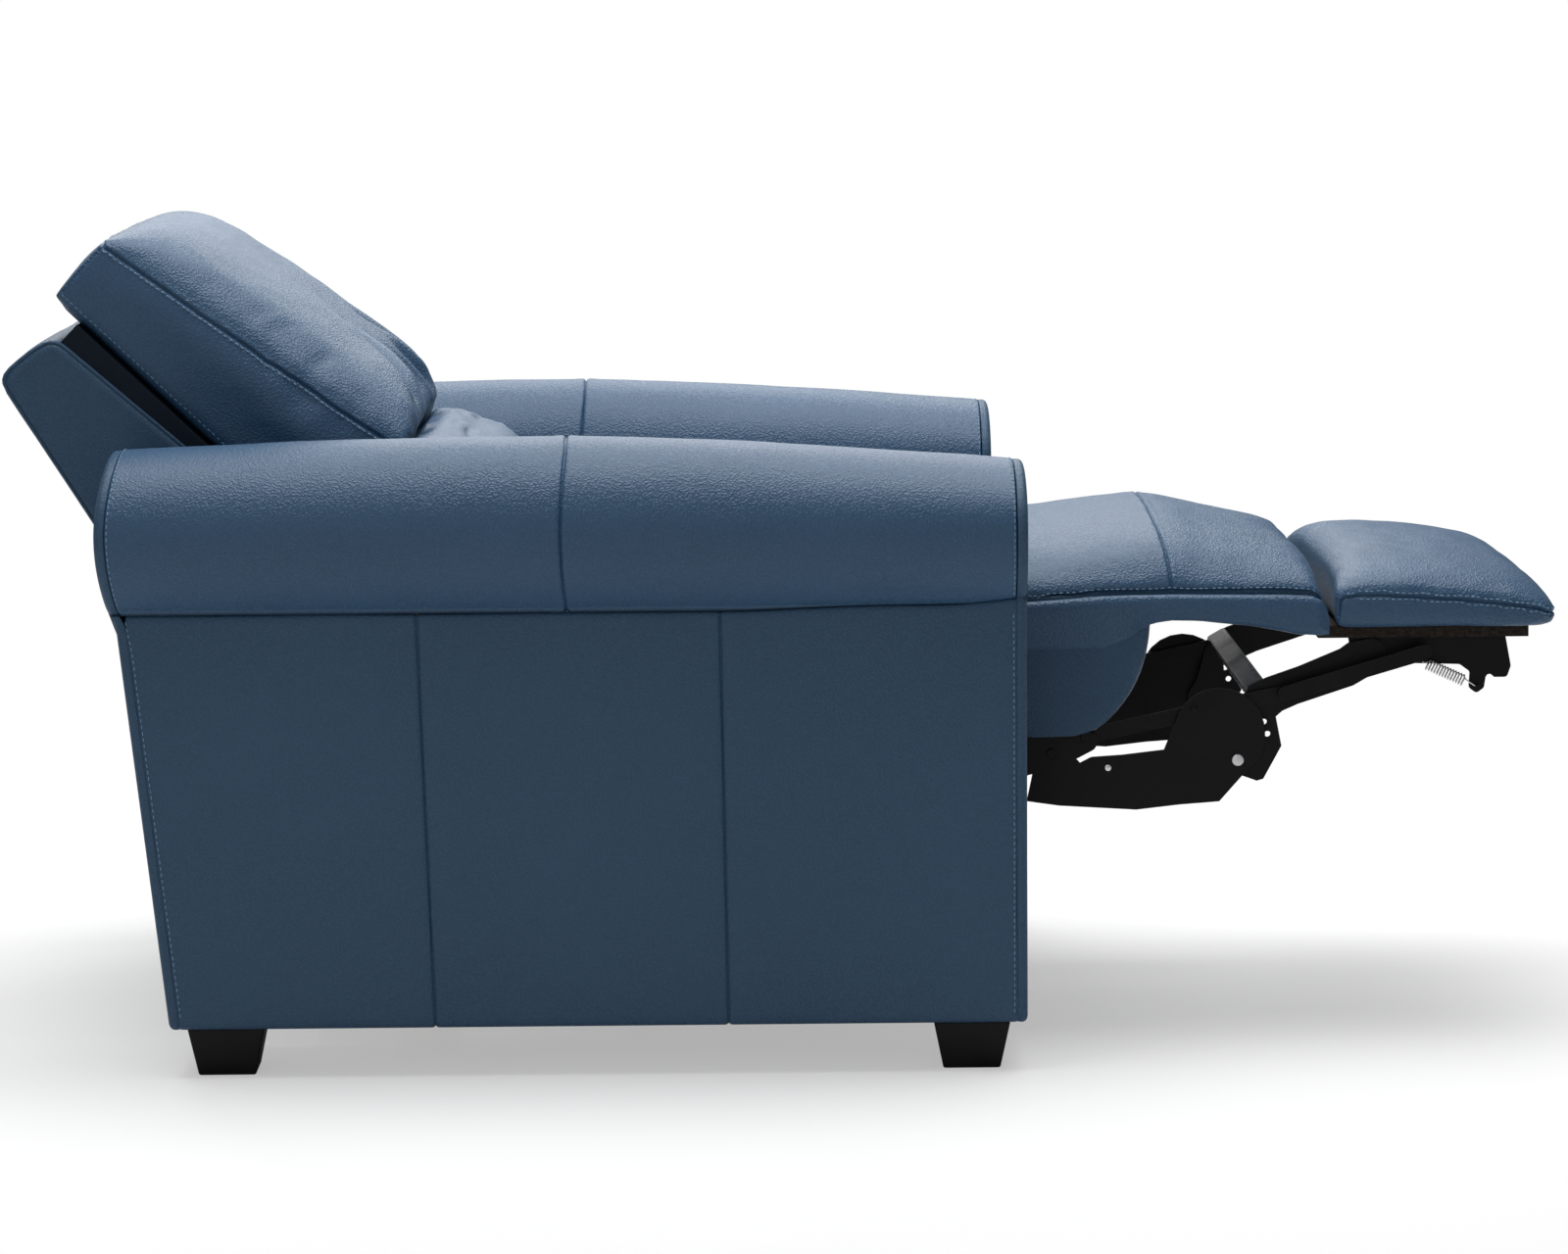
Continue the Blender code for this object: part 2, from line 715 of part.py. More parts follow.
def switches():
    """A plate on the right arm's inner side, with two rockers in its windows."""
    side = -1
    face = ARM_IN - GAP
    x0, x1 = SWITCH_X - SWITCH_LONG / 2, SWITCH_X + SWITCH_LONG / 2
    z0, z1 = SWITCH_Z - SWITCH_TALL / 2, SWITCH_Z + SWITCH_TALL / 2
    outline = rounded([(x0, z0, 0.005), (x1, z0, 0.005), (x1, z1, 0.005), (x0, z1, 0.005)])
    windows = []
    half_x, half_z = ROCKER_LONG / 2, ROCKER_TALL / 2
    for centre in ROCKERS.values():
        a, b = centre - half_x - PLAY, centre + half_x + PLAY
        c, d = SWITCH_Z - half_z - PLAY, SWITCH_Z + half_z + PLAY
        windows.append([(a, c), (b, c), (b, d), (a, d)])
    plate = prism(outline, side * face, side * (face - SWITCH_THICK), windows)
    solid("switch_plate", "black_plastic", "base", [plate])
    outer = face - ROCKER_CLEAR
    inner = outer - ROCKER_DEEP
    for name, centre in ROCKERS.items():
        section = [
            (centre - half_x, side * outer),
            (centre + half_x, side * outer),
            (centre + half_x, side * inner),
            (centre, side * (inner + ROCKER_DISH)),
            (centre - half_x, side * inner),
        ]
        axle = (centre, side * (outer + inner) / 2)
        low, high = SWITCH_Z - half_z, SWITCH_Z + half_z
        ends = low - PLAY + GAP, high + PLAY - GAP
        pins = [(axle, ROCKER_PIN, end) for end in ends]
        rocker = prism(section, low, high, studs=pins, axis="Z")
        solid(name, "black_plastic", name, [rocker])


def side_plate(side):
    """The carriage's steel side: roller axles, back pivot and the linkage's fixed pivots."""
    pivot_x, pivot_z = BACK_PIVOT
    long_x, long_z = PIVOT_LONG
    low = TRACK_FLOOR + ROLLER_RADIUS - 0.021
    web = low + 0.055
    front_axle, rear_axle = ROLLER_X
    under_box = SEAT_BOTTOM - 0.0015
    outline = rounded([
        (pivot_x - 0.017, pivot_z + 0.014, 0.012),
        (pivot_x - 0.017, pivot_z - 0.040, 0.010),
        (rear_axle - 0.030, low, 0.015),
        (rear_axle + 0.030, low, 0.015),
        (rear_axle + 0.065, web, 0.015),
        (front_axle - 0.060, web, 0.015),
        (front_axle - 0.025, low, 0.015),
        (front_axle + 0.025, low, 0.015),
        (long_x - 0.030, long_z - 0.024, 0.020),
        (long_x + 0.010, long_z - 0.014, 0.008),
        (GUIDE[0] + 0.012, GUIDE[1] - 0.011, 0.008),
        (GUIDE[0] + 0.012, under_box, 0.006),
        (SIDE_RAIL_FRONT, under_box, 0),
        (SIDE_RAIL_FRONT, SEAT_BOTTOM + 0.070, 0.010),
        (SEAT_REAR, SEAT_BOTTOM + 0.070, 0.010),
        (pivot_x + 0.017, pivot_z + 0.014, 0.012),
    ])
    bores = [
        circle(BACK_PIVOT, BACK_PIN + RUN, 12),
        circle(PIVOT_LONG, PIN + RUN, 12),
        circle(GUIDE, PIN + RUN, 12),
    ]
    axle_z = TRACK_FLOOR + GAP + ROLLER_RADIUS
    bores += [circle((x, axle_z), ROLLER_AXLE + RUN, 12) for x in ROLLER_X]
    plate = prism(outline, *layer(side, 0), bores)
    solid(f"{side_name(side)}_side_plate", "black_steel", "carriage", [plate])


def rollers():
    """Two pairs of rollers, each pair fixed on a shaft that turns in the side plates."""
    for name, x in zip(("front_rollers", "rear_rollers"), ROLLER_X):
        centre = (x, TRACK_FLOOR + GAP + ROLLER_RADIUS)
        shapes = [prism(circle(centre, ROLLER_AXLE, 12), -ROLLER_OUT + PLAY, ROLLER_OUT - PLAY)]
        for side in (-1, 1):
            y = on_side(side, ROLLER_OUT - ROLLER_WIDTH, ROLLER_WIDTH)
            shapes.append(prism(circle(centre, ROLLER_RADIUS), *y))
        solid(name, "black_plastic", name, shapes, smooth=30)


def cross_tubes():
    half = PLATE_OUT - PLATE - GAP
    for name, (x, z) in (("front_tube", FRONT_TUBE), ("rear_tube", REAR_TUBE)):
        out, hole = TUBE / 2, TUBE / 2 - 0.002
        outer = [(x - out, z - out), (x + out, z - out), (x + out, z + out), (x - out, z + out)]
        bore = [(x - hole, z - hole), (x + hole, z - hole), (x + hole, z + hole), (x - hole, z + hole)]
        parts = [prism(outer, -half, half, [bore])]
        if name == "front_tube":
            lug = (ROD_Z - 0.015, z - out + 0.001)
            parts.append(block((x - out, x + out), (-0.012, 0.012), lug))
        solid(name, "black_steel", "carriage", parts)


def seat_frame():
    """Four boards under the seat: two sides, a rear and a front bent as the box's front is."""
    side_in = PLATE_OUT + RUN
    half = side_in + SEAT_BOARD
    low, high = SEAT_BOTTOM + 0.0045, SEAT_TOP
    for side in (-1, 1):
        board = block((SEAT_REAR, SIDE_RAIL_FRONT), on_side(side, side_in, SEAT_BOARD), (low, high))
        solid(f"{side_name(side)}_seat_rail", "wood", "carriage", [board])
    inside = side_in - GAP
    start = SEAT_REAR
    rear_low = SEAT_BOTTOM + 0.070 + GAP
    rear = block((start, start + SEAT_BOARD), (-inside, inside), (rear_low, high))
    solid("rear_seat_rail", "wood", "carriage", [rear])
    thick = FRONT_BOARD
    outer = [(x - GAP, max(z, low)) for x, z in box_front()]
    inner = [(x - thick, z) for x, z in reversed(outer) if x - thick > SIDE_RAIL_FRONT + GAP]
    foot_x = SIDE_RAIL_FRONT + GAP
    board = [*outer, *inner, (foot_x, low + 0.020), (foot_x, low)]
    solid("front_seat_rail", "wood", "carriage", [prism(board, -half, half)])


def box_front():
    """The seat box's front edge in side view, from its foot up to the knee."""
    knee_x = KNEE_X - 0.0105
    return [
        (knee_x - 0.0560, SEAT_BOTTOM + 0.0045),
        (knee_x - 0.0310, SEAT_BOTTOM + 0.030),
        (knee_x - 0.0150, SEAT_BOTTOM + 0.056),
        (knee_x - 0.0025, SEAT_BOTTOM + 0.102),
        (knee_x, SEAT_TOP),
    ]


def box_front_x(z):
    """How far forward the seat box's front reaches at one height."""
    edge = box_front()
    for (x0, z0), (x1, z1) in zip(edge, edge[1:]):
        if z0 <= z <= z1:
            return between(x0, x1, (z - z0) / (z1 - z0))
    return edge[-1][0]


def seat_skirts():
    front = box_front()
    outline = [(SEAT_REAR, SEAT_BOTTOM), (front[0][0] - 0.060, SEAT_BOTTOM), *front]
    outline.append((SEAT_REAR, SEAT_TOP))
    for side in (-1, 1):
        skirt = prism(outline, *on_side(side, SEAT_BOX_HALF - SKIRT, SKIRT))
        solid(f"{side_name(side)}_seat_skirt", "leather", "carriage", [skirt])


def seat_springs():
    """A wire waved to and fro between the rear seat rail and the front one."""
    z = SEAT_TOP - 0.012
    seat = SPRING_WIRE / 2 + GAP
    start = SEAT_REAR + SEAT_BOARD + seat
    end = box_front_x(z) - GAP - FRONT_BOARD - seat
    path = []
    for k in range(SEAT_WIRES):
        y = between(-SEAT_WIRE_SPREAD, SEAT_WIRE_SPREAD, k / (SEAT_WIRES - 1))
        wave = zigzag((start, y, z), (end, y, z), 0.022, (0, 1, 0), 24)
        path.extend(reversed(wave) if k % 2 else wave)
    wires("seat_springs", "zinc", "carriage", [path], SPRING_WIRE)


def seat_cushion():
    rear, front = SEAT_PAD_REAR, KNEE_X + 0.009
    half, low = SEAT_PAD_HALF, PAD_BOTTOM
    seam = low + 0.007
    length = front - rear
    shape = (
        (0.0, -0.012, 0.32),
        (0.02, -0.003, 0.55),
        (0.06, 0.0, 0.68),
        (0.30, 0.0, 0.78),
        (0.60, 0.0, 0.82),
        (0.80, 0.0, 0.90),
        (0.93, 0.0, 1.08),
        (0.985, 0.0, 1.10),
        (1.0, -0.004, 0.98),
    )
    stations = []
    for share, draw, crown in shape:
        stations.append((rear + share * length, half + draw, low, seam, seam + crown * SEAT_CROWN))
    solid("seat_cushion", "leather", "carriage", [flat_pad(stations)], smooth=50)


def footrest_motor():
    """A gear motor that hangs from the front tube and turns the torque tube."""
    rear = FRONT_TUBE[0] + TUBE / 2 + GAP
    x, z = PIVOT_LONG
    low, high = z - 0.023, z + 0.020
    outline = rounded([
        (rear, low, 0.004),
        (x + 0.020, low, 0.010),
        (x + 0.020, high, 0.010),
        (rear, high, 0.004),
    ])
    case = prism(outline, -0.035, 0.035, [circle(PIVOT_LONG, TORQUE_TUBE + RUN)])
    radius = 0.022
    can = prism(circle((rear + 0.050, low + 0.002 - radius), radius), -0.060, 0.034)
    solid("footrest_motor", "black_plastic", "carriage", [case, can], smooth=30)


def cover_rear(up):
    """How far behind the back's pivot line the outer back's rear face lies."""
    return COVER_REAR_LOW + (COVER_REAR_HIGH - COVER_REAR_LOW) * up / COVER_TOP_REAR


def cover_front(up):
    return COVER_FRONT - 0.049 * (up - 0.3671)


def outer_back():
    """The outer back: a leather shell round the frame's sides, rear and top."""
    wall = 0.005
    half = BACK_HALF
    rings = []
    for rear_up, front_up in ((COVER_FOOT, COVER_FOOT), (COVER_TOP_REAR, COVER_TOP_FRONT)):
        front, rear = cover_front(front_up), cover_rear(rear_up)
        share_up = {front: front_up, rear: rear_up, rear + wall: rear_up}
        section = [
            (-half, front),
            (-half, rear),
            (half, rear),
            (half, front),
            (half - wall, front),
            (half - wall, rear + wall),
            (-(half - wall), rear + wall),
            (-(half - wall), front),
        ]
        ring = []
        for y, out in section:
            x, z = back_point(share_up[out], out)
            ring.append((x, y, z))
        rings.append(ring)
    inner = half - wall / 2
    rear, front = cover_rear(COVER_TOP_REAR) + wall / 2, cover_front(COVER_TOP_FRONT)
    lid = [
        back_point(COVER_TOP_REAR - wall, rear),
        back_point(COVER_TOP_REAR, rear),
        back_point(COVER_TOP_FRONT, front),
        back_point(COVER_TOP_FRONT - wall, front),
    ]
    solid("outer_back", "leather", "back", [loft(rings), prism(lid, -inner, inner)])


def back_frame():
    """Two side posts joined by a top and a bottom board."""
    post_in = PLATE_OUT - LAYER + GAP
    post_out = BACK_HALF - 0.005 - GAP
    front = POST_FRONT
    foot, top = COVER_FOOT + 0.010, COVER_TOP_FRONT - 0.012
    parts = []
    for side in (-1, 1):
        outline = [
            back_point(foot, POST_REAR),
            back_point(foot, front),
            back_point(top, front),
            back_point(top, cover_rear(top) + 0.008),
            back_point(0.30, POST_REAR),
        ]
        parts.append(prism(outline, *on_side(side, post_in, post_out - post_in)))
    upper_rear = cover_rear(top) + 0.010
    rails = (
        (top - 0.040, top, upper_rear, front),
        (foot, foot + 0.060, POST_REAR, POST_REAR + 0.022),
    )
    for low, high, rail_rear, rail_front in rails:
        outline = [
            back_point(low, rail_rear),
            back_point(low, rail_front),
            back_point(high, rail_front),
            back_point(high, rail_rear),
        ]
        parts.append(prism(outline, -post_in - 0.004, post_in + 0.004))
    solid("back_frame", "wood", "back", parts)


def back_springs():
    """A wire waved to and fro between the posts, behind the back cushion."""
    out = POST_FRONT - 0.006
    half = PLATE_OUT - LAYER - SPRING_WIRE / 2
    path = []
    sine, cosine = math.sin(BACK_LEAN), math.cos(BACK_LEAN)
    for k, up in enumerate((0.20, 0.29, 0.38, 0.46)):
        x, z = back_point(up, out)
        wave = zigzag((x, -half, z), (x, half, z), 0.022, (-sine, 0, cosine), 20)
        path.extend(reversed(wave) if k % 2 else wave)
    wires("back_springs", "zinc", "back", [path], SPRING_WIRE)


def back_cushion():
    rear = POST_FRONT + RUN
    half = BACK_HALF
    foot, top = 0.2045, 0.583
    seam_top, seam_foot = 0.0395, 0.0945
    shape = (
        (0.0, -0.004, 0.028, 0.020),
        (0.02, 0.0, 0.041, 0.026),
        (0.08, 0.0, 0.049, 0.024),
        (0.21, 0.0, 0.061, 0.016),
        (0.40, 0.0, 0.062, 0.009),
        (0.58, 0.0, 0.063, 0.004),
        (0.76, 0.0, 0.062, 0.0),
        (0.88, 0.0, 0.054, 0.0),
        (0.95, 0.0, 0.038, 0.0),
        (0.985, -0.001, 0.022, 0.0),
        (1.0, -0.006, 0.006, 0.0),
    )
    stations = []
    for share, draw, crown, valley in shape:
        seam = between(seam_foot, seam_top, share)
        up = between(foot, top, share)
        stations.append((up, half + draw, rear, seam, seam + crown, valley))
    solid("back_cushion", "leather", "back", [leaning_pad(stations)], smooth=50)


def lumbar_cushion():
    rear = POST_FRONT + RUN
    half = BACK_HALF
    foot, top = 0.022, 0.2035
    shape = (
        (0.0, -0.014, 0.085, 0.096),
        (0.03, -0.004, 0.092, 0.118),
        (0.12, 0.0, 0.096, 0.138),
        (0.33, 0.0, 0.098, 0.154),
        (0.60, 0.0, 0.097, 0.1555),
        (0.80, 0.0, 0.096, 0.149),
        (0.93, 0.0, 0.096, 0.140),
        (1.0, -0.004, 0.095, 0.120),
    )
    stations = []
    for share, draw, seam, front in shape:
        stations.append((between(foot, top, share), half + draw, rear, seam, front, 0.0))
    solid("lumbar_cushion", "leather", "back", [leaning_pad(stations)], smooth=50)


def back_bracket(side):
    """The steel plate that hangs the back on the carriage and takes the recline link."""
    link_x, link_z = RECLINE_CRANK
    outline = rounded([
        (link_x - 0.013, link_z - 0.013, 0.010),
        (link_x + 0.013, link_z - 0.013, 0.010),
        (*back_point(-0.005, 0.016), 0.006),
        (*back_point(0.017, 0.013), 0.006),
        (*back_point(0.017, POST_FRONT - 0.010), 0.004),
        (*back_point(0.260, POST_FRONT - 0.010), 0.012),
        (*back_point(0.260, POST_FRONT - 0.050), 0.012),
        (*back_point(0.085, POST_REAR + 0.030), 0.020),
    ])
    stud = [(BACK_PIVOT, BACK_PIN, layer_outer(side, 0) + side * 0.002)]
    bore = [circle(RECLINE_CRANK, PIN + RUN, 12)]
    plate = prism(outline, *layer(side, 1), bore, stud)
    solid(f"{side_name(side)}_back_bracket", "black_steel", "back", [plate])


def bar(start, end, half, ends=6):
    """A flat link's outline: two parallel edges joined by round ends."""
    lean = math.degrees(math.atan2(end[1] - start[1], end[0] - start[0]))
    return [
        *arc(end, half, lean - 90, lean + 90, ends),
        *arc(start, half, lean + 90, lean + 270, ends),
    ]


def recline_link(side):
    """It holds the back bracket's lower end, so the back rises as the carriage goes back."""
    inner_stud = (RECLINE_FOOT, PIN, layer_outer(side, 3) - side * (PLATE + 0.001))
    link = prism(bar(RECLINE_FOOT, RECLINE_CRANK, 0.012), *layer(side, 2), studs=[inner_stud])
    solid(f"{side_name(side)}_recline_link", "black_steel", "recline_links", [link])


def footrest():
    board_top = BOARD_BOTTOM + BOARD_THICK
    board = block((BOARD_REAR, BOARD_FRONT), (-BOARD_HALF, BOARD_HALF), (BOARD_BOTTOM, board_top))
    solid("footrest_board", "dark_board", "footrest", [board])
    low = board_top + GAP
    half = SEAT_PAD_HALF
    seam = low + 0.041
    length = TOE_X - PAD_SPLIT
    shape = (
        (0.001, -0.004, 0.0, 0.010, 0.26),
        (0.03, 0.0, 0.0, 0.0, 0.70),
        (0.12, 0.0, 0.0, 0.0, 0.98),
        (0.30, 0.0, 0.0, 0.0, 1.02),
        (0.60, 0.0, 0.0, -0.002, 0.95),
        (0.80, -0.003, 0.0, -0.006, 0.88),
        (0.90, -0.012, 0.001, -0.011, 0.80),
        (0.96, -0.026, 0.003, -0.017, 0.66),
        (0.99, -0.040, 0.007, -0.024, 0.45),
        (1.0, -0.052, 0.012, -0.028, 0.16),
    )
    stations = []
    for share, draw, lift, sink, crown in shape:
        x = PAD_SPLIT + share * length
        stations.append((x, half + draw, low + lift, seam + sink, seam + sink + crown * TOE_CROWN))
    solid("footrest_pad", "leather", "footrest", [flat_pad(stations)], smooth=50)
    rear = KNEE_X + 0.0215
    length = PAD_SPLIT - GAP - rear
    seam = LEG_SEAM
    shape = (
        (0.0, 0.447, 0.98),
        (0.04, 0.446, 1.06),
        (0.25, 0.441, 0.90),
        (0.55, 0.434, 0.74),
        (0.80, 0.431, 0.60),
        (0.92, 0.430, 0.46),
        (0.98, 0.429, 0.32),
        (1.0, 0.429, 0.16),
    )
    stations = []
    for share, flap, crown in shape:
        top = seam + crown * (SEAT_CROWN + PAD_BOTTOM + 0.007 - seam)
        x = rear + share * length
        stations.append((x, half - 0.0025, flap, seam, max(top, LEG_TROUGH + 0.004), 0.0, LEG_TROUGH))
    solid("leg_pad", "leather", "footrest", [flat_pad(stations)], smooth=50)


def footrest_bracket(side):
    """The angle under the footrest board, with the spring's hook at its front."""
    top = BOARD_BOTTOM - GAP
    crank_x, crank_z = PIVOT_CRANK_BOARD
    hook_x, hook_z = HOOK
    belly = crank_z - 0.012
    outline = rounded([
        (crank_x - 0.024, top, 0),
        (crank_x - 0.020, crank_z - 0.006, 0.006),
        (crank_x - 0.004, crank_z - 0.014, 0.006),
        (crank_x + 0.024, belly, 0.006),
        (hook_x - 0.018, belly - 0.002, 0.006),
        (hook_x - 0.007, belly - 0.010, 0.004),
        (hook_x - 0.008, hook_z - 0.002, 0.004),
        (hook_x, hook_z - 0.008, 0.004),
        (hook_x + 0.008, hook_z - 0.002, 0.004),
        (hook_x + 0.011, belly - 0.006, 0.004),
        (hook_x + 0.018, belly - 0.016, 0.002),
        (hook_x + 0.032, belly - 0.016, 0.004),
        (hook_x + 0.036, belly - 0.004, 0.004),
        (hook_x + 0.030, top, 0),
    ])
    spring_y = side * spring_place()
    post_end = spring_y + side * 0.003
    bores = [circle(PIVOT_CRANK_BOARD, PIN + RUN, 12), circle(PIVOT_LINK_BOARD, PIN + RUN, 12)]
    posts = [(SPRING_ANCHOR, SPRING_POST, post_end), (HOOK, SPRING_POST, post_end)]
    plate = prism(outline, *layer(side, 4), bores, posts)
    flange = on_side(side, PLATE_OUT - 4 * LAYER - PLATE - 0.024, 0.024 + PLATE / 2)
    angle = block((crank_x - 0.020, crank_x - 0.002), flange, (top - PLATE, top))
    rear_angle = block((PIVOT_LINK_BOARD[0] + 0.020, hook_x + 0.028), flange, (top - PLATE, top))
    parts = [plate, angle, rear_angle]
    solid(f"{side_name(side)}_footrest_bracket", "black_steel", "footrest", parts)


def spring_place():
    """The springs' distance from the middle, just outside the footrest brackets."""
    return PLATE_OUT - 4 * LAYER + GAP + SPRING_COIL / 2 + 0.001


def footrest_spring(side):
    """A coil spring between two posts on the bracket, one unbroken wire."""
    y = side * spring_place()
    start = Vector((SPRING_ANCHOR[0], y, SPRING_ANCHOR[1]))
    end = Vector((HOOK[0], y, HOOK[1]))
    axis = (end - start).normalized()
    start += axis * (SPRING_POST + SPRING_STEEL * 0.2)
    end -= axis * (SPRING_POST + SPRING_STEEL * 0.2)
    across = axis.cross(Vector((0, 1, 0))).normalized()
    up = axis.cross(across)
    first = start + axis * SPRING_LEAD
    last = end - axis * SPRING_TAIL
    radius = (SPRING_COIL - SPRING_STEEL) / 2
    steps = SPRING_TURNS * SPRING_POINTS
    coil = []
    for i in range(steps + 1):
        turn = 2 * math.pi * i / SPRING_POINTS
        grow = min(1.0, (i + 1) / 3, (steps - i + 1) / 3)
        offset = across * math.cos(turn) + up * math.sin(turn)
        coil.append(first.lerp(last, i / steps) + offset * radius * grow)
    path = [start, start + axis * SPRING_STEEL, *coil, end - axis * SPRING_STEEL, end]
    wires(f"{side_name(side)}_footrest_spring", "zinc", "footrest", [path], SPRING_STEEL, 1)
    spacing = min(
        (a - b).length
        for i, a in enumerate(coil)
        for b in coil[i + SPRING_POINTS // 2 :]
    )
    print(f"{side_name(side)} footrest spring: least gap {1000 * (spacing - SPRING_STEEL):.2f} mm")


def long_link(side):
    """The crescent-shaped link with its finger guard, fixed to the torque tube's end."""
    x, z = PIVOT_LONG
    guard = arc(GUARD_CENTRE, GUARD_RADIUS, -48, 168, 14)
    belly = z - 0.056
    reach = PIVOT_LONG_CRANK[0] - x
    outline = [
        *arc(PIVOT_LONG, 0.016, 60, 190, 6),
        (x - 0.026, belly + 0.005),
        (x + 0.008, belly),
        (x + 0.456 * reach, belly - 0.005),
        (x + 0.687 * reach, belly),
        (x + 0.902 * reach, belly + 0.003),
        *guard,
        (x + 0.605 * reach, z + 0.002),
        (x + 0.380 * reach, z - 0.003),
        (x + 0.042, z - 0.005),
        (x + 0.030, z - 0.011),
        (x + 0.020, z + 0.000),
    ]
    pin = (PIVOT_LONG, PIN, layer_outer(side, 0) + side * 0.002)
    rivet_end = layer_outer(side, 1) + side * 0.0007
    rivets = [(PIVOT_LONG_CRANK, 0.006, rivet_end), ((x + 0.059, z - 0.018), 0.003, rivet_end)]
    tube_stud = (PIVOT_LONG, TORQUE_TUBE - 0.002 - GAP, layer_outer(side, 3) - side * 0.010)
    neck = (PIVOT_LONG, PIN, layer_outer(side, 3) - side * 0.002)
    plate = prism(outline, *layer(side, 1), studs=[pin, *rivets, neck])
    plug = prism(circle(tube_stud[0], tube_stud[1], 12), layer_outer(side, 3), tube_stud[2])
    solid(f"{side_name(side)}_long_link", "black_steel", "long_links", [plate, plug], smooth=30)


def torque_tube():
    half = PLATE_OUT - 3 * LAYER
    bore = [circle(PIVOT_LONG, TORQUE_TUBE - 0.002)]
    tube = prism(circle(PIVOT_LONG, TORQUE_TUBE), -half, half, bore)
    solid("torque_tube", "grey_steel", "long_links", [tube], smooth=30)


def bell_crank(side):
    """The bent link from the long link's end up to the footrest bracket."""
    a, b = PIVOT_LONG_CRANK
    c, d = PIVOT_CRANK_BOARD
    outline = [
        (a - 0.013, b - 0.012),
        (a + 0.013, b - 0.021),
        (a + 0.021, b - 0.024),
        (a + 0.028, b - 0.022),
        (a + 0.040, b),
        (a + 0.047, b + 0.013),
        (a + 0.041, b + 0.044),
        (a + 0.048, b + 0.050),
        (a + 0.064, b + 0.057),
        (c - 0.019, d - 0.035),
        (c + 0.007, d - 0.020),
        *arc(PIVOT_CRANK_BOARD, 0.0145, -30, 100, 5),
        (c - 0.024, d + 0.010),
        (c - 0.033, d + 0.0035),
        (c - 0.077, d - 0.0147),
        (a + 0.031, b + 0.085),
        (a + 0.013, b + 0.076),
        (a + 0.006, b + 0.059),
        (a - 0.004, b + 0.024),
        (a - 0.013, b + 0.010),
    ]
    holes = [circle((a + 0.0286, b + 0.0384), 0.0033, 10), circle((a + 0.0323, b + 0.0255), 0.0033, 10)]
    pin = (PIVOT_CRANK_BOARD, PIN, layer_outer(side, 4) - side * (PLATE + 0.001))
    plate = prism(outline, *layer(side, 3), holes, [pin])
    solid(f"{side_name(side)}_bell_crank", "black_steel", "bell_cranks", [plate])


def crossbar():
    half = PLATE_OUT - 3 * LAYER - PLATE - GAP
    x, z = PIVOT_LONG_CRANK[0] + 0.021, PIVOT_LONG_CRANK[1] + 0.072
    reach, depth = CROSSBAR / 2, CROSSBAR / 3
    lean = math.radians(-30)
    corners = []
    for du, dv in ((-reach, -depth), (reach, -depth), (reach, depth), (-reach, depth)):
        dx, dz = turned((du, dv), lean)
        corners.append((x + dx, z + dz, 0.004))
    solid("crossbar", "grey_steel", "bell_cranks", [prism(rounded(corners), -half, half)])


def guide_links():
    """The hidden guide links, joined by their pivot's rod, behind the finger guards."""
    reach = PLATE_OUT - 2 * LAYER - PLATE / 2
    links = [prism(circle(GUIDE, PIN, 12), -reach, reach)]
    for side in (-1, 1):
        pin = (GUIDE, PIN, layer_outer(side, 0) + side * 0.001)
        boss = (PIVOT_GUIDE_CRANK, 0.0055, layer_outer(side, 3) + side * GAP)
        links.append(prism(bar(GUIDE, GUIDE_TIP, 0.008), *layer(side, 2), studs=[pin, boss]))
    solid("guide_links", "black_steel", "guide_links", links)


def board_links():
    """The links from the guide links' tips to the footrest brackets, joined by a rod there."""
    reach = PLATE_OUT - PLATE / 2
    links = [prism(circle(PIVOT_LINK_BOARD, PIN, 12), -reach, reach)]
    for side in (-1, 1):
        links.append(prism(bar(GUIDE_TIP, PIVOT_LINK_BOARD, 0.008), *layer(side, 0)))
    solid("board_links", "black_steel", "board_links", links)


def make_pivots():
    pivot("base", 0.0, 0.0)
    for name, centre in ROCKERS.items():
        pivot(name, centre, SWITCH_Z, "base")
        empty, place = pivots[name]
        shift = Vector((0.0, -(ARM_IN - GAP - ROCKER_CLEAR - ROCKER_DEEP / 2), 0.0))
        empty.location += shift
        pivots[name] = (empty, place + shift)
    pivot("carriage", 0.0, TRACK_FLOOR + ROLLER_RADIUS, "base")
    for name, x in zip(("front_rollers", "rear_rollers"), ROLLER_X):
        pivot(name, x, TRACK_FLOOR + GAP + ROLLER_RADIUS, "carriage")
    pivot("back", *BACK_PIVOT, "carriage")
    pivot("recline_links", *RECLINE_FOOT, "base")
    pivot("footrest", KNEE_X, KNEE_Z, "carriage")
    pivot("long_links", *PIVOT_LONG, "carriage")
    pivot("guide_links", *GUIDE, "carriage")
    pivot("bell_cranks", *PIVOT_CRANK_BOARD, "footrest")
    pivot("board_links", *PIVOT_LINK_BOARD, "footrest")


def main():
    clear_scene()
    make_pivots()
    rail_top = base_rails()
    recline_drive(rail_top)
    control_box(rail_top)
    switches()
    for side in (-1, 1):
        arm_roll(side)
        arm_cover(side)
        arm_frame(side)
        foot(side, "front")
        foot(side, "rear")
        track(side)
        side_plate(side)
        back_bracket(side)
        recline_link(side)
        footrest_bracket(side)
        footrest_spring(side)
        long_link(side)
        bell_crank(side)
    rollers()
    cross_tubes()
    seat_frame()
    seat_skirts()
    seat_springs()
    seat_cushion()
    footrest_motor()
    outer_back()
    back_frame()
    back_springs()
    back_cushion()
    lumbar_cushion()
    footrest()
    torque_tube()
    crossbar()
    guide_links()
    board_links()


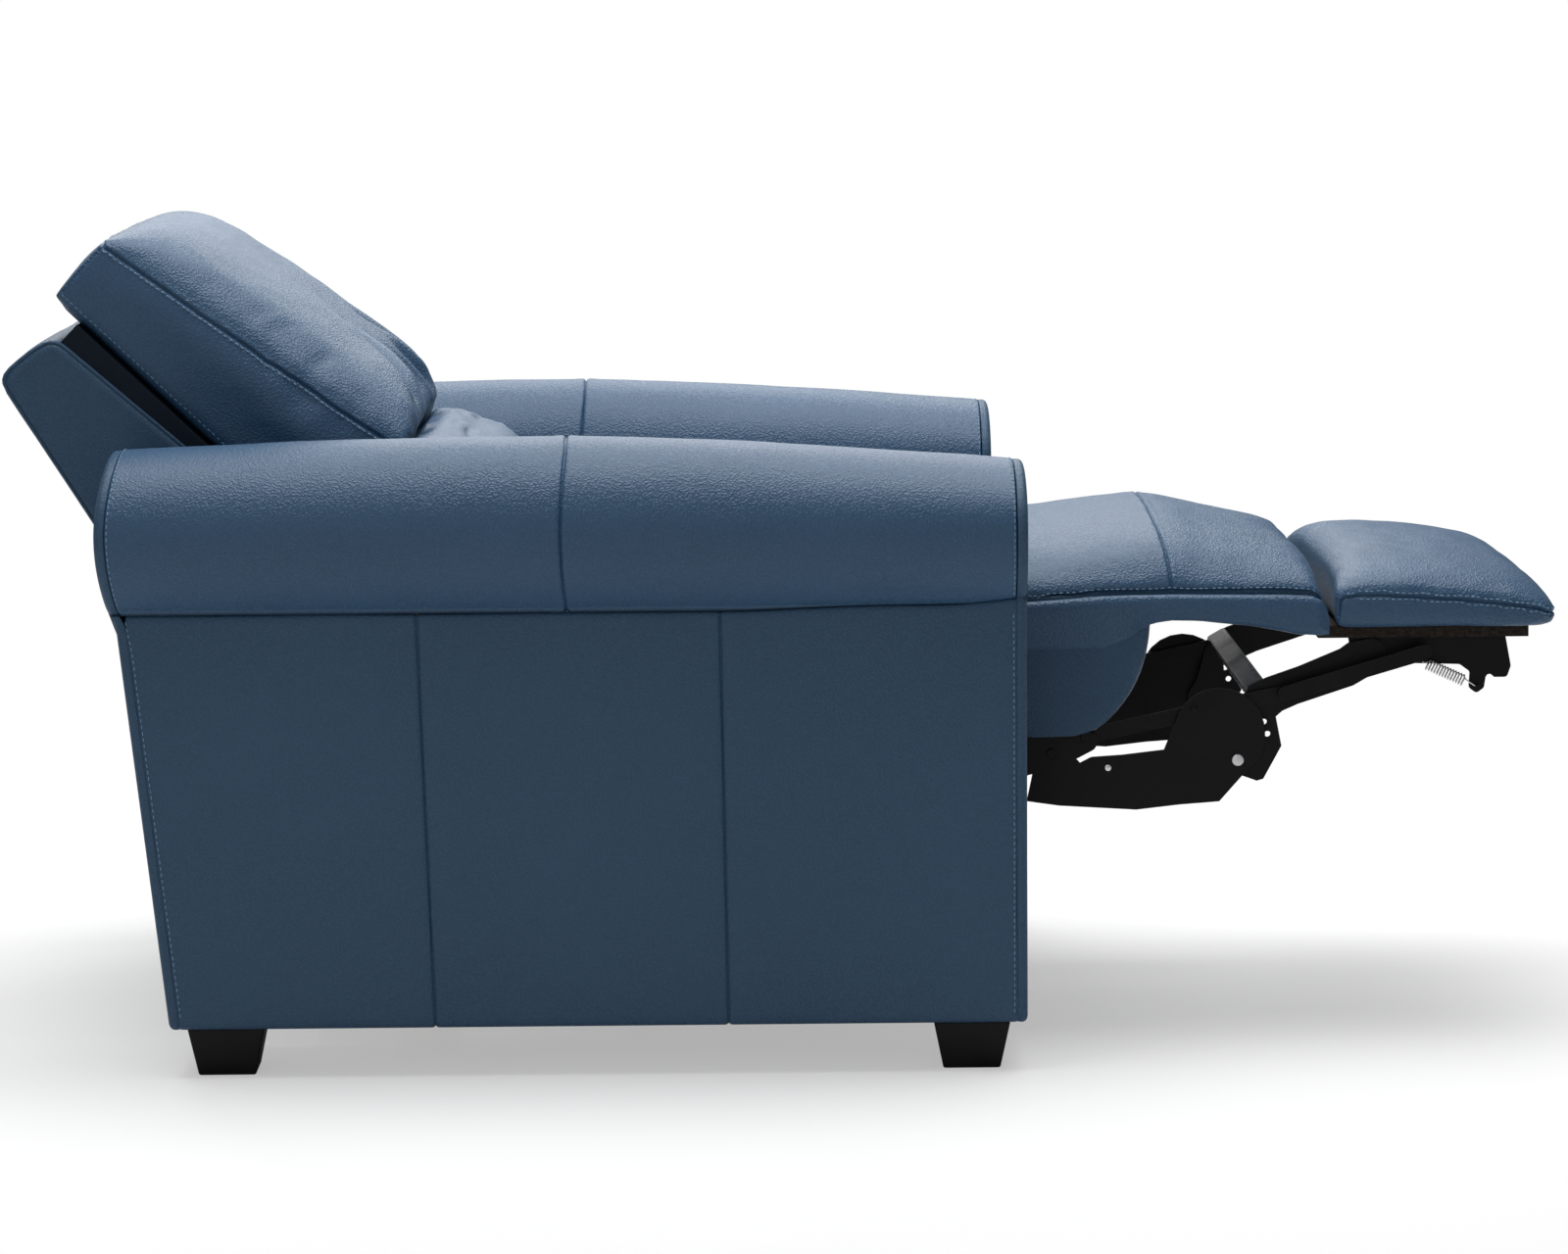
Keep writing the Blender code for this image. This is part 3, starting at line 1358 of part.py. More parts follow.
PIVOT_LONG_CRANK = lower_crossing(PIVOT_LONG, LONG_LINK, PIVOT_CRANK_BOARD, CRANK_LINK)
PIVOT_GUIDE_CRANK = tuple(a + b for a, b in zip(PIVOT_LONG_CRANK, GUIDE_ON_CRANK))
GUARD_CENTRE = (PIVOT_LONG_CRANK[0] - GUARD_BEHIND, PIVOT_LONG_CRANK[1] + GUARD_ABOVE)
GUIDE, GUIDE_TIP = solve_linkage()

main()
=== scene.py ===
"""Looks of the wall hugger recliner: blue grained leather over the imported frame.

Metres, in the frame of the CAD part: +X is the way the sitter faces, +Y the sitter's left, +Z up.
"""

from __future__ import annotations

import logging
import math
from contextlib import contextmanager
from dataclasses import dataclass, field
from enum import Enum
from typing import Callable, Iterable, Iterator, Sequence

import bmesh
import bpy
from mathutils import Matrix, Vector, noise
from mathutils.bvhtree import BVHTree
from mathutils.kdtree import KDTree


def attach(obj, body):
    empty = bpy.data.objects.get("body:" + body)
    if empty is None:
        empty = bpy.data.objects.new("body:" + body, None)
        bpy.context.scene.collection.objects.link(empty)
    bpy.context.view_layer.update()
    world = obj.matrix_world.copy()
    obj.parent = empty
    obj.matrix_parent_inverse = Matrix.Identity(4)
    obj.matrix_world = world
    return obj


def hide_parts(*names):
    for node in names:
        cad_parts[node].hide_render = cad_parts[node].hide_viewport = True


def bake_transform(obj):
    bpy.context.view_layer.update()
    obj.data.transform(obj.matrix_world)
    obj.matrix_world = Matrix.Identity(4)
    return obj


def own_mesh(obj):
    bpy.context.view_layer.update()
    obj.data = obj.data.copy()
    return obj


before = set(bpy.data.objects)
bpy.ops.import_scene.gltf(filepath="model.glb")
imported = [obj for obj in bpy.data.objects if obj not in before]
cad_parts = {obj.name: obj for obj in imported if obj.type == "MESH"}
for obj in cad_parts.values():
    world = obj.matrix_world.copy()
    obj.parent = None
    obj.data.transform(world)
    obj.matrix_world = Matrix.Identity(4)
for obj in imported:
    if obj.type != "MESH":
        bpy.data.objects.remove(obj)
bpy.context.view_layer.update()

log = logging.getLogger("recliner")

Point = tuple[float, float, float]
Ring = list[Point]
Keep = Callable[[Vector], float]
SIDES = (-1, 1)
WHITE = (1.0, 1.0, 1.0, 1.0)

CLOUD_SHADE = 0.30   # share of the second colour in leather's clouds
CREVICE_PAINTED_SHADE = 0.30  # share of the painted shade colour in the crevices between pebbles
CREVICE_SHADE_TONE = 0.45          # that painted crevice shade colour, as a share of the base
DUST_SHADE = 0.22    # share of the dusty colour on paint
MARK_RELIEF = 0.25   # saw marks' share of a board's relief

PATH_STEP = 0.002    # distance of the points along a seam
NARROW = 0.003       # seams narrower than this get a finer mesh
FINE_REACH = 3.2     # half width of that finer mesh, in seam widths
FINE_EDGE = 0.0011   # its longest edge
SEAM_REACH = 5       # half width of a seam's effect, in seam widths
PUFF_PLACE = 2.4     # where the leather stands highest beside it, in seam widths
CLOTH_FRAMES = 20    # frames that a pad has for swelling
SLACK = 0.0035       # how much smaller a pad is made before it swells


class Where(Enum):
    """Which side of the chair a piece is on, seen by the sitter."""

    RIGHT = -1
    LEFT = 1

    @property
    def word(self) -> str:
        """The side's name in the names of the pieces."""
        return self.name.lower()


class Slot(Enum):
    """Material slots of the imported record."""

    LEATHER = "leather"
    PLASTIC = "black_plastic"
    STEEL = "black_steel"
    TUBE = "grey_steel"
    ZINC = "zinc"
    WOOD = "wood"
    BOARD = "dark_board"


# --------------------------------------------------------------------------- node groups


def new_group(name: str, inputs: dict[str, float], outputs: dict[str, str]) -> bpy.types.NodeTree:
    """Starts a shader node group.

    Args:
        name: the group's name.
        inputs: float inputs and their values.
        outputs: outputs and their socket kinds, "Float", "Color" or "Vector".

    Returns:
        The group, with its input and output nodes in place.
    """
    group = bpy.data.node_groups.new(name, "ShaderNodeTree")
    for label, value in inputs.items():
        socket = group.interface.new_socket(
            name=label, in_out="INPUT", socket_type="NodeSocketFloat"
        )
        socket.default_value = value
    for label, kind in outputs.items():
        group.interface.new_socket(name=label, in_out="OUTPUT", socket_type=f"NodeSocket{kind}")
    group.nodes.new("NodeGroupInput")
    group.nodes.new("NodeGroupOutput")
    return group


class Wiring:
    """Short hand for making and linking the nodes of one tree."""

    def __init__(self, tree: bpy.types.NodeTree) -> None:
        """Keeps the tree."""
        self.tree = tree

    def node(self, kind: str, given: dict | None = None, **settings: object) -> bpy.types.Node:
        """Adds a node.

        Args:
            kind: the node's type without its ShaderNode prefix.
            given: sockets or plain values for its inputs, by name or number.
            settings: its properties, such as operation.

        Returns:
            The new node.
        """
        made = self.tree.nodes.new(f"ShaderNode{kind}")
        for label, value in settings.items():
            setattr(made, label, value)
        for label, value in (given or {}).items():
            self.join(value, made.inputs[label])
        return made

    def join(self, source: object, target: object) -> None:
        """Links two sockets, or sets the second from a plain value."""
        if isinstance(source, bpy.types.NodeSocket):
            self.tree.links.new(source, target)
        else:
            target.default_value = source

    def math(self, operation: str, *values: object, clamp: bool = False) -> bpy.types.NodeSocket:
        """A Math node's result."""
        made = self.node("Math", operation=operation, use_clamp=clamp)
        for socket, value in zip(made.inputs, values):
            self.join(value, socket)
        return made.outputs[0]

    def noise(self, where: object, scale: object, detail: float = 2.0) -> bpy.types.NodeSocket:
        """A noise's value at a place."""
        made = self.node("TexNoise", {"Vector": where, "Scale": scale, "Detail": detail})
        return made.outputs["Fac"]

    def remap(self, value: object, low: float, high: float, to: tuple = (0.0, 1.0)) -> object:
        """A value between low and high spread over another range, clamped."""
        given = {"Value": value, "From Min": low, "From Max": high}
        given |= {"To Min": to[0], "To Max": to[1]}
        return self.node("MapRange", given).outputs["Result"]

    def blend(self, share: object, first: object, second: object) -> bpy.types.NodeSocket:
        """One colour over another by a share from 0 to 1."""
        made = self.node("Mix", data_type="RGBA")
        self.join(share, made.inputs["Factor"])
        for value, socket in ((first, made.inputs["A"]), (second, made.inputs["B"])):
            colours = [s for s in made.inputs if s.name == socket.name and s.type == "RGBA"]
            self.join((*value, 1.0) if isinstance(value, tuple) else value, colours[0])
        return [s for s in made.outputs if s.type == "RGBA"][0]

    def ends(self) -> tuple[bpy.types.Node, bpy.types.Node]:
        """The group's input and output nodes."""
        found = {n.bl_idname: n for n in self.tree.nodes}
        return found["NodeGroupInput"], found["NodeGroupOutput"]


def pebbled_grain() -> bpy.types.NodeTree:
    """Leather grain: rounded pebbles, finer pores, slow clouds of tone, and painted shade in the
    crevices between pebbles.
    """
    group = new_group(
        "pebbled grain",
        {"Pebbles": 390.0, "Clouds": 5.0},
        {"Height": "Float", "Creases": "Float", "Cloud": "Float"},
    )
    w = Wiring(group)
    given, out = w.ends()
    place = w.node("TexCoord").outputs["Object"]
    bend = w.node("TexNoise", {"Vector": place, "Scale": 140.0, "Detail": 1.0})
    parts = {0: bend.outputs["Color"], 1: (0.0035, 0.0035, 0.0035), 2: place}
    shift = w.node("VectorMath", parts, operation="MULTIPLY_ADD")
    parts = {"Vector": shift.outputs[0], "Scale": given.outputs["Pebbles"], "Smoothness": 0.35}
    cells = w.node("TexVoronoi", parts, feature="SMOOTH_F1")
    dome = w.remap(cells.outputs["Distance"], 0.12, 0.62, (1.0, 0.0))
    pores = w.noise(place, 1500.0, 1.0)
    patch = w.remap(w.noise(place, 7.0, 2.0), 0.30, 0.70, (0.70, 1.0))
    height = w.math("MULTIPLY", w.math("MULTIPLY_ADD", pores, 0.18, dome), patch)
    w.join(height, out.inputs["Height"])
    # painted shade: the low places between pebbles get a darker colour
    w.join(w.math("MULTIPLY", w.remap(dome, 0.0, 0.45, (1.0, 0.0)), patch), out.inputs["Creases"])
    clouds = w.noise(place, given.outputs["Clouds"], 3.0)
    w.join(w.remap(clouds, 0.3, 0.7), out.inputs["Cloud"])
    return group


def worn_paint() -> bpy.types.NodeTree:
    """Paint on pressed steel: orange peel, dust patches, and edges rubbed lighter."""
    group = new_group(
        "worn paint",
        {"Peel": 500.0, "Edge": 0.0012},
        {"Height": "Float", "Edges": "Float", "Dust": "Float"},
    )
    w = Wiring(group)
    given, out = w.ends()
    place = w.node("TexCoord").outputs["Object"]
    w.join(w.noise(place, given.outputs["Peel"], 2.0), out.inputs["Height"])
    soft = w.node("Bevel", {"Radius": given.outputs["Edge"]}, samples=4)
    face = w.node("NewGeometry").outputs["Normal"]
    turn = w.node("VectorMath", {0: soft.outputs[0], 1: face}, operation="DOT_PRODUCT")
    edge = w.remap(turn.outputs["Value"], 0.80, 0.99, (1.0, 0.0))
    scuffs = w.remap(w.noise(place, 60.0, 4.0), 0.42, 0.62)
    w.join(w.math("MULTIPLY", edge, scuffs), out.inputs["Edges"])
    w.join(w.remap(w.noise(place, 14.0, 5.0), 0.45, 0.75), out.inputs["Dust"])
    return group


def long_fibres() -> bpy.types.NodeTree:
    """Wood or board fibres drawn out along X, with saw marks across them."""
    group = new_group(
        "long fibres",
        {"Fineness": 90.0, "Stretch": 0.08},
        {"Fibre": "Float", "Marks": "Float"},
    )
    w = Wiring(group)
    given, out = w.ends()
    place = w.node("TexCoord").outputs["Object"]
    parts = w.node("SeparateXYZ", {0: place}).outputs
    along = w.math("MULTIPLY", parts["X"], given.outputs["Stretch"])
    drawn = w.node("CombineXYZ", {"X": along, "Y": parts["Y"], "Z": parts["Z"]})
    w.join(w.noise(drawn.outputs[0], given.outputs["Fineness"], 6.0), out.inputs["Fibre"])
    wave = w.node("TexWave", {"Vector": place, "Scale": 60.0, "Distortion": 3.0})
    w.join(wave.outputs["Fac"], out.inputs["Marks"])
    return group


# --------------------------------------------------------------------------- finishes


@dataclass(frozen=True)
class Finish:
    """A finish on one material: its colours, gloss and relief."""

    name: str
    slot: Slot
    base: Point
    second: Point
    rough: tuple[float, float]
    metallic: float = 0.0
    relief: float = 0.0
    gloss: float = 0.5
    group: str = "worn paint"
    pattern: dict[str, float] = field(default_factory=dict)

    def made(self) -> bpy.types.Material:
        """The material of this finish, built once."""
        found = bpy.data.materials.get(self.name)
        if found:
            return found
        material = bpy.data.materials.new(self.name)
        material.use_nodes = True
        material.diffuse_color = (*self.base, 1.0)
        w = Wiring(material.node_tree)
        shader = material.node_tree.nodes["Principled BSDF"]
        shader.inputs["Metallic"].default_value = self.metallic
        shader.inputs["Specular IOR Level"].default_value = self.gloss
        effect = w.node("Group")
        effect.node_tree = bpy.data.node_groups[self.group]
        for label, value in self.pattern.items():
            effect.inputs[label].default_value = value
        colour, rough, height = self.mixed(w, effect)
        w.join(colour, shader.inputs["Base Color"])
        w.join(rough, shader.inputs["Roughness"])
        bump = w.node("Bump", {"Strength": 1.0, "Distance": self.relief, "Height": height})
        w.join(bump.outputs[0], shader.inputs["Normal"])
        return material

    def mixed(self, w: Wiring, effect: bpy.types.Node) -> tuple[object, object, object]:
        """Colour, roughness and height sockets from the effect's outputs."""
        out = effect.outputs
        if self.group == "pebbled grain":
            # painted shade: the crevices between pebbles are darkened towards a darker copy of the
            # base
            shade = w.math("MULTIPLY", out["Creases"], CREVICE_PAINTED_SHADE)
            cloud = w.math("MULTIPLY", out["Cloud"], CLOUD_SHADE)
            colour = w.blend(cloud, self.base, self.second)
            deep = tuple(CREVICE_SHADE_TONE * c for c in self.base)
            colour = w.blend(shade, colour, deep)
            rough = w.remap(out["Height"], 0.0, 1.1, (self.rough[1], self.rough[0]))
            return colour, rough, out["Height"]
        if self.group == "long fibres":
            colour = w.blend(w.remap(out["Fibre"], 0.35, 0.68), self.base, self.second)
            rough = w.remap(out["Marks"], 0.0, 1.0, self.rough)
            return colour, rough, w.math("MULTIPLY_ADD", out["Marks"], MARK_RELIEF, out["Fibre"])
        colour = w.blend(out["Edges"], self.base, self.second)
        dusty = tuple(c + 0.5 * (s - c) for c, s in zip(self.base, self.second))
        colour = w.blend(w.math("MULTIPLY", out["Dust"], DUST_SHADE), colour, dusty)
        rough = w.remap(out["Dust"], 0.0, 1.0, self.rough)
        return colour, rough, out["Height"]

    def dress(self, piece: bpy.types.Object) -> None:
        """Puts the finish on every face of a piece or CAD node."""
        material = self.made()
        if not piece.material_slots:
            piece.data.materials.append(material)
        for slot in piece.material_slots:
            slot.material = material


LEATHER = Finish(
    "blue leather", Slot.LEATHER, (0.022, 0.064, 0.126), (0.029, 0.079, 0.153), (0.32, 0.50),
    relief=0.00050, gloss=0.34, group="pebbled grain",
)
SIDE_LEATHER = Finish(
    "blue side leather", Slot.LEATHER, (0.025, 0.061, 0.112), (0.031, 0.073, 0.131), (0.38, 0.54),
    relief=0.00038, gloss=0.24, group="pebbled grain",
    pattern={"Pebbles": 420.0, "Clouds": 3.0},
)
THREAD = Finish(
    "blue thread", Slot.LEATHER, (0.115, 0.215, 0.335), (0.17, 0.28, 0.39), (0.5, 0.7),
    relief=0.0001, pattern={"Peel": 2500.0},
)
PLASTIC = Finish(
    "black moulded foot", Slot.PLASTIC, (0.0045, 0.0045, 0.005), (0.03, 0.03, 0.031), (0.40, 0.58),
    relief=0.00006, gloss=0.14, pattern={"Peel": 900.0, "Edge": 0.0015},
)
STEEL = Finish(
    "black painted steel", Slot.STEEL, (0.0022, 0.0022, 0.0025), (0.032, 0.031, 0.030),
    (0.38, 0.58), relief=0.00005, gloss=0.14,
)
TUBE = Finish(
    "grey satin tube", Slot.TUBE, (0.085, 0.085, 0.087), (0.30, 0.29, 0.28), (0.26, 0.42),
    metallic=0.85, relief=0.00004,
)
ZINC = Finish(
    "bright zinc", Slot.ZINC, (0.56, 0.56, 0.57), (0.34, 0.34, 0.35), (0.24, 0.42),
    metallic=1.0, relief=0.00003, pattern={"Peel": 800.0, "Edge": 0.0004},
)
WOOD = Finish(
    "sawn board", Slot.WOOD, (0.36, 0.235, 0.125), (0.52, 0.37, 0.22), (0.62, 0.80),
    relief=0.0003, group="long fibres",
)
BOARD = Finish(
    "felted board", Slot.BOARD, (0.009, 0.0068, 0.0055), (0.028, 0.021, 0.017), (0.78, 0.92),
    relief=0.0005, gloss=0.15, group="long fibres", pattern={"Fineness": 300.0, "Stretch": 0.5},
)
DUST_CLOTH = Finish(
    "black dust cloth", Slot.BOARD, (0.005, 0.005, 0.0055), (0.011, 0.011, 0.012), (0.8, 0.95),
    relief=0.00012, gloss=0.10, group="long fibres", pattern={"Fineness": 500.0, "Stretch": 1.0},
)
# painted shade: the gap's blue leather made near black to stand for its shadow between the outer
# back and the cushions
LINING_PAINTED_SHADE = Finish(
    "dark blue lining", Slot.BOARD, (0.005, 0.009, 0.016), (0.008, 0.014, 0.024), (0.7, 0.9),
    relief=0.0001, gloss=0.10,
)


# --------------------------------------------------------------------------- shaping


def deselect() -> None:
    """Leaves nothing selected, so that an operator acts only on the new piece."""
    for thing in bpy.context.selected_objects:
        thing.select_set(False)


def activate(piece: bpy.types.Object) -> None:
    """Makes a piece the only selected and the active one."""
    deselect()
    piece.select_set(True)
    bpy.context.view_layer.objects.active = piece


def applied(piece: bpy.types.Object, kind: str, **settings: object) -> None:
    """Adds a modifier, sets it and applies it."""
    activate(piece)
    made = piece.modifiers.new(kind.lower(), kind)
    for label, value in settings.items():
        setattr(made, label, value)
    bpy.ops.object.modifier_apply(modifier=made.name)


def rounded_faces(piece: bpy.types.Object, degrees: float = 40.0) -> None:
    """Shades a piece smooth, with edges sharper than an angle left crisp."""
    activate(piece)
    bpy.ops.object.shade_smooth_by_angle(angle=math.radians(degrees))


def placed(name: str, data: bpy.types.ID) -> bpy.types.Object:
    """A new object in the scene, made from a mesh, lamp or camera."""
    made = bpy.data.objects.new(name, data)
    bpy.context.scene.collection.objects.link(made)
    return made


@contextmanager
def edited(mesh: bpy.types.Mesh) -> Iterator[bmesh.types.BMesh]:
    """Opens a mesh for editing and writes it back afterwards."""
    bm = bmesh.new()
    bm.from_mesh(mesh)
    yield bm
    bm.to_mesh(mesh)
    bm.free()


def searched(spots: Sequence[Vector]) -> KDTree:
    """A tree that finds the nearest of some points."""
    tree = KDTree(len(spots))
    for i, spot in enumerate(spots):
        tree.insert(spot, i)
    tree.balance()
    return tree


def mix(start: float, end: float, share: float) -> float:
    """The value a share of the way from start to end."""
    return start + (end - start) * share


def ease(share: float) -> float:
    """A share from 0 to 1 eased at both ends."""
    share = min(max(share, 0.0), 1.0)
    return share * share * (3 - 2 * share)


def table(rows: Sequence[Sequence[float]], at: float) -> list[float]:
    """Values between the rows of a table whose first column rises."""
    if at <= rows[0][0]:
        return list(rows[0][1:])
    for low, high in zip(rows, rows[1:]):
        if at <= high[0]:
            share = (at - low[0]) / (high[0] - low[0])
            return [mix(a, b, share) for a, b in zip(low[1:], high[1:])]
    return list(rows[-1][1:])


def skin(name: str, rings: Sequence[Ring], capped: bool = True) -> bpy.types.Object:
    """A closed leather skin through rings of equally many points.

    Args:
        name: the piece's name.
        rings: the rings, in order.
        capped: whether the two ends get a fan of faces round a middle point.

    Returns:
        The new object, at the origin, its faces pointing outwards.
    """
    mesh = bpy.data.meshes.new(name)
    with edited(mesh) as bm:
        rows = [[bm.verts.new(point) for point in ring] for ring in rings]
        count = len(rows[0])
        for near, far in zip(rows, rows[1:]):
            for i in range(count):
                j = (i + 1) % count
                bm.faces.new((near[i], near[j], far[j], far[i]))
        for row in (rows[0], rows[-1]) if capped else ():
            hub = bm.verts.new(sum((v.co for v in row), Vector()) / count)
            for i in range(count):
                bm.faces.new((row[i], row[(i + 1) % count], hub))
        bmesh.ops.remove_doubles(bm, verts=bm.verts, dist=1e-5)
        bmesh.ops.recalc_face_normals(bm, faces=bm.faces)
    mesh.shade_smooth()
    return placed(name, mesh)


def swell(piece: bpy.types.Object, voxel: float, pressure: float, cap: float) -> None:
    """Fills a pad with air under its cover, as a cloth, and holds how far it may move.

    Args:
        piece: the pad, a closed skin a little smaller than the finished one.
        voxel: the remeshing size.
        pressure: the cloth's pressure.
        cap: the furthest that a point may move.
    """
    applied(piece, "REMESH", mode="VOXEL", voxel_size=voxel, use_smooth_shade=True)
    start = [v.co.copy() for v in piece.data.vertices]
    scene = bpy.context.scene
    cloth = piece.modifiers.new("filling", "CLOTH")
    cloth.settings.use_pressure = True
    cloth.settings.uniform_pressure_force = pressure
    cloth.settings.effector_weights.gravity = 0.0
    cloth.settings.quality = 4
    cloth.point_cache.frame_start = 1
    cloth.point_cache.frame_end = CLOTH_FRAMES
    for number in range(1, CLOTH_FRAMES + 1):
        scene.frame_set(number)
    activate(piece)
    bpy.ops.object.modifier_apply(modifier=cloth.name)
    scene.frame_set(1)
    for vertex, origin in zip(piece.data.vertices, start):
        move = vertex.co - origin
        if move.length > cap:
            vertex.co = origin + move * (cap / move.length)
    applied(piece, "SMOOTH", factor=0.5, iterations=3)
    applied(piece, "SUBSURF", levels=1, render_levels=1)


def fine_path(points: Sequence[Point], step: float = PATH_STEP) -> list[Vector]:
    """A smooth path through points, sampled in equal short steps."""
    spots = [Vector(p) for p in points]
    if len(spots) > 2:
        smooth = []
        padded = [2 * spots[0] - spots[1], *spots, 2 * spots[-1] - spots[-2]]
        for a, b, c, d in zip(padded, padded[1:], padded[2:], padded[3:]):
            for k in range(12):
                t = k / 12
                smooth.append(0.5 * (2 * b + (c - a) * t + (2 * a - 5 * b + 4 * c - d) * t * t
                                     + (3 * b - a - 3 * c + d) * t * t * t))
        spots = [*smooth, spots[-1]]
    path = []
    left = 0.0
    for a, b in zip(spots, spots[1:]):
        length = (b - a).length
        while left < length:
            path.append(a.lerp(b, left / length))
            left += step
        left -= length
    path.append(spots[-1])
    return path


def cling(piece: bpy.types.Object, path: Iterable[Vector]) -> tuple[list[Vector], list[Vector]]:
    """The nearest points on a piece's surface to a path's points, and their normals."""
    mesh = piece.data
    tree = BVHTree.FromPolygons([v.co for v in mesh.vertices], [p.vertices for p in mesh.polygons])
    spots, normals = [], []
    for point in path:
        spot, normal, _, _ = tree.find_nearest(point)
        spots.append(spot)
        normals.append(normal)
    return spots, normals


def refine(piece: bpy.types.Object, spots: Sequence[Vector], reach: float, edge: float) -> None:
    """Splits the edges near a line until they are short enough for a crisp seam.

    Args:
        piece: the piece whose mesh is refined.
        spots: points along the line.
        reach: how far from the line edges are split.
        edge: edges longer than this are split, at most twice.
    """
    tree = searched(spots)
    with edited(piece.data) as bm:
        for _ in range(2):
            near = {v for v in bm.verts if tree.find(v.co)[2] < reach}
            edges = [e for e in bm.edges if near.issuperset(e.verts) and e.calc_length() > edge]
            bmesh.ops.subdivide_edges(bm, edges=edges, cuts=1, use_grid_fill=True)
            bm.verts.index_update()
            bm.edges.index_update()
        bmesh.ops.triangulate(bm, faces=[f for f in bm.faces if len(f.verts) > 4])
    piece.data.shade_smooth()


def press(
    piece: bpy.types.Object,
    path: Sequence[Point],
    depth: float = 0.0022,
    width: float = 0.003,
    puff: float = 0.0007,
    fade: float = 0.0,
) -> None:
    """Presses a seam or fold into a piece along a path that lies close to its surface.

    Args:
        piece: a piece with a fine enough mesh.
        path: points near the surface.
        depth: how deep the line is.
        width: half its width.
        puff: how far the leather stands up on both sides of it.
        fade: length at both ends over which the line dies away.
    """
    spots, _ = cling(piece, fine_path(path))
    if width < NARROW:
        refine(piece, spots, FINE_REACH * width, FINE_EDGE)
    tree = searched(spots)
    run = PATH_STEP * (len(spots) - 1)
    normals = [n.vector.copy() for n in piece.data.vertex_normals]
    for vertex, normal in zip(piece.data.vertices, normals):
        _, i, away = tree.find(vertex.co)
        if away > SEAM_REACH * width:
            continue
        sink = depth * math.exp(-((away / width) ** 2))
        rise = puff * math.exp(-(((away - PUFF_PLACE * width) / width) ** 2))
        strength = 1.0
        if fade:
            strength = ease(min(i * PATH_STEP, run - i * PATH_STEP) / fade)
        vertex.co += normal * (rise - sink) * strength
    piece.data.update()


@dataclass
class Stitching:
    """Rows of thread laid on a piece, one short rounded grain for each stitch."""

    length: float = 0.0042
    gap: float = 0.0024
    thick: float = 0.0012
    proud: float = 0.00030
    points: list[Vector] = field(default_factory=list)
    faces: list[tuple[int, ...]] = field(default_factory=list)

    def row(self, piece: bpy.types.Object, path: Sequence[Point]) -> None:
        """Adds a row along a path, held to the piece's surface."""
        spots, normals = cling(piece, fine_path(path, self.length + self.gap))
        for near, far, normal in zip(spots, spots[1:], normals):
            along = far - near
            if along.length < 0.5 * self.length:
                continue
            along.normalize()
            side = along.cross(normal).normalized()
            self.grain(near + normal * self.proud, along, side, normal)

    def grain(self, start: Vector, along: Vector, side: Vector, up: Vector) -> None:
        """One stitch: a small closed bead with seventeen faces."""
        first = len(self.points)
        for share, size in ((0.0, 0.45), (0.3, 1.0), (0.7, 1.0), (1.0, 0.45)):
            centre = start + along * self.length * share
            for k in range(5):
                angle = 2 * math.pi * k / 5
                reach = self.thick / 2 * size
                self.points.append(
                    centre + side * math.cos(angle) * reach + up * math.sin(angle) * reach * 0.8
                )
        for k in range(3):
            for i in range(5):
                j = (i + 1) % 5
                low, high = first + 5 * k, first + 5 * k + 5
                self.faces.append((low + i, low + j, high + j, high + i))
        self.faces.append(tuple(first + i for i in reversed(range(5))))
        self.faces.append(tuple(first + 15 + i for i in range(5)))

    def sewn(self, name: str) -> bpy.types.Object:
        """The piece with all rows, dressed as thread."""
        mesh = bpy.data.meshes.new(name)
        mesh.from_pydata(self.points, [], self.faces)
        with edited(mesh) as bm:
            bmesh.ops.recalc_face_normals(bm, faces=bm.faces)
        mesh.shade_smooth()
        made = placed(name, mesh)
        THREAD.dress(made)
        return made


def settle(piece: bpy.types.Object, finish: Finish, body: str, *nodes: str) -> None:
    """Dresses a piece, lets it ride on a body and stand for CAD nodes.

    Args:
        piece: the finished piece.
        finish: its finish.
        body: the CAD body it rides on, or "knee" for leather over the knee, which is baked in place
            on no body.
        nodes: the CAD nodes it replaces.
    """
    finish.dress(piece)
    if body == "knee":
        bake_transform(piece)
    else:
        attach(piece, body)
    if nodes:
        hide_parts(*nodes)
    log.info("%s: %d faces, rides on %s", piece.name, len(piece.data.polygons), body)


# --------------------------------------------------------------------------- studio


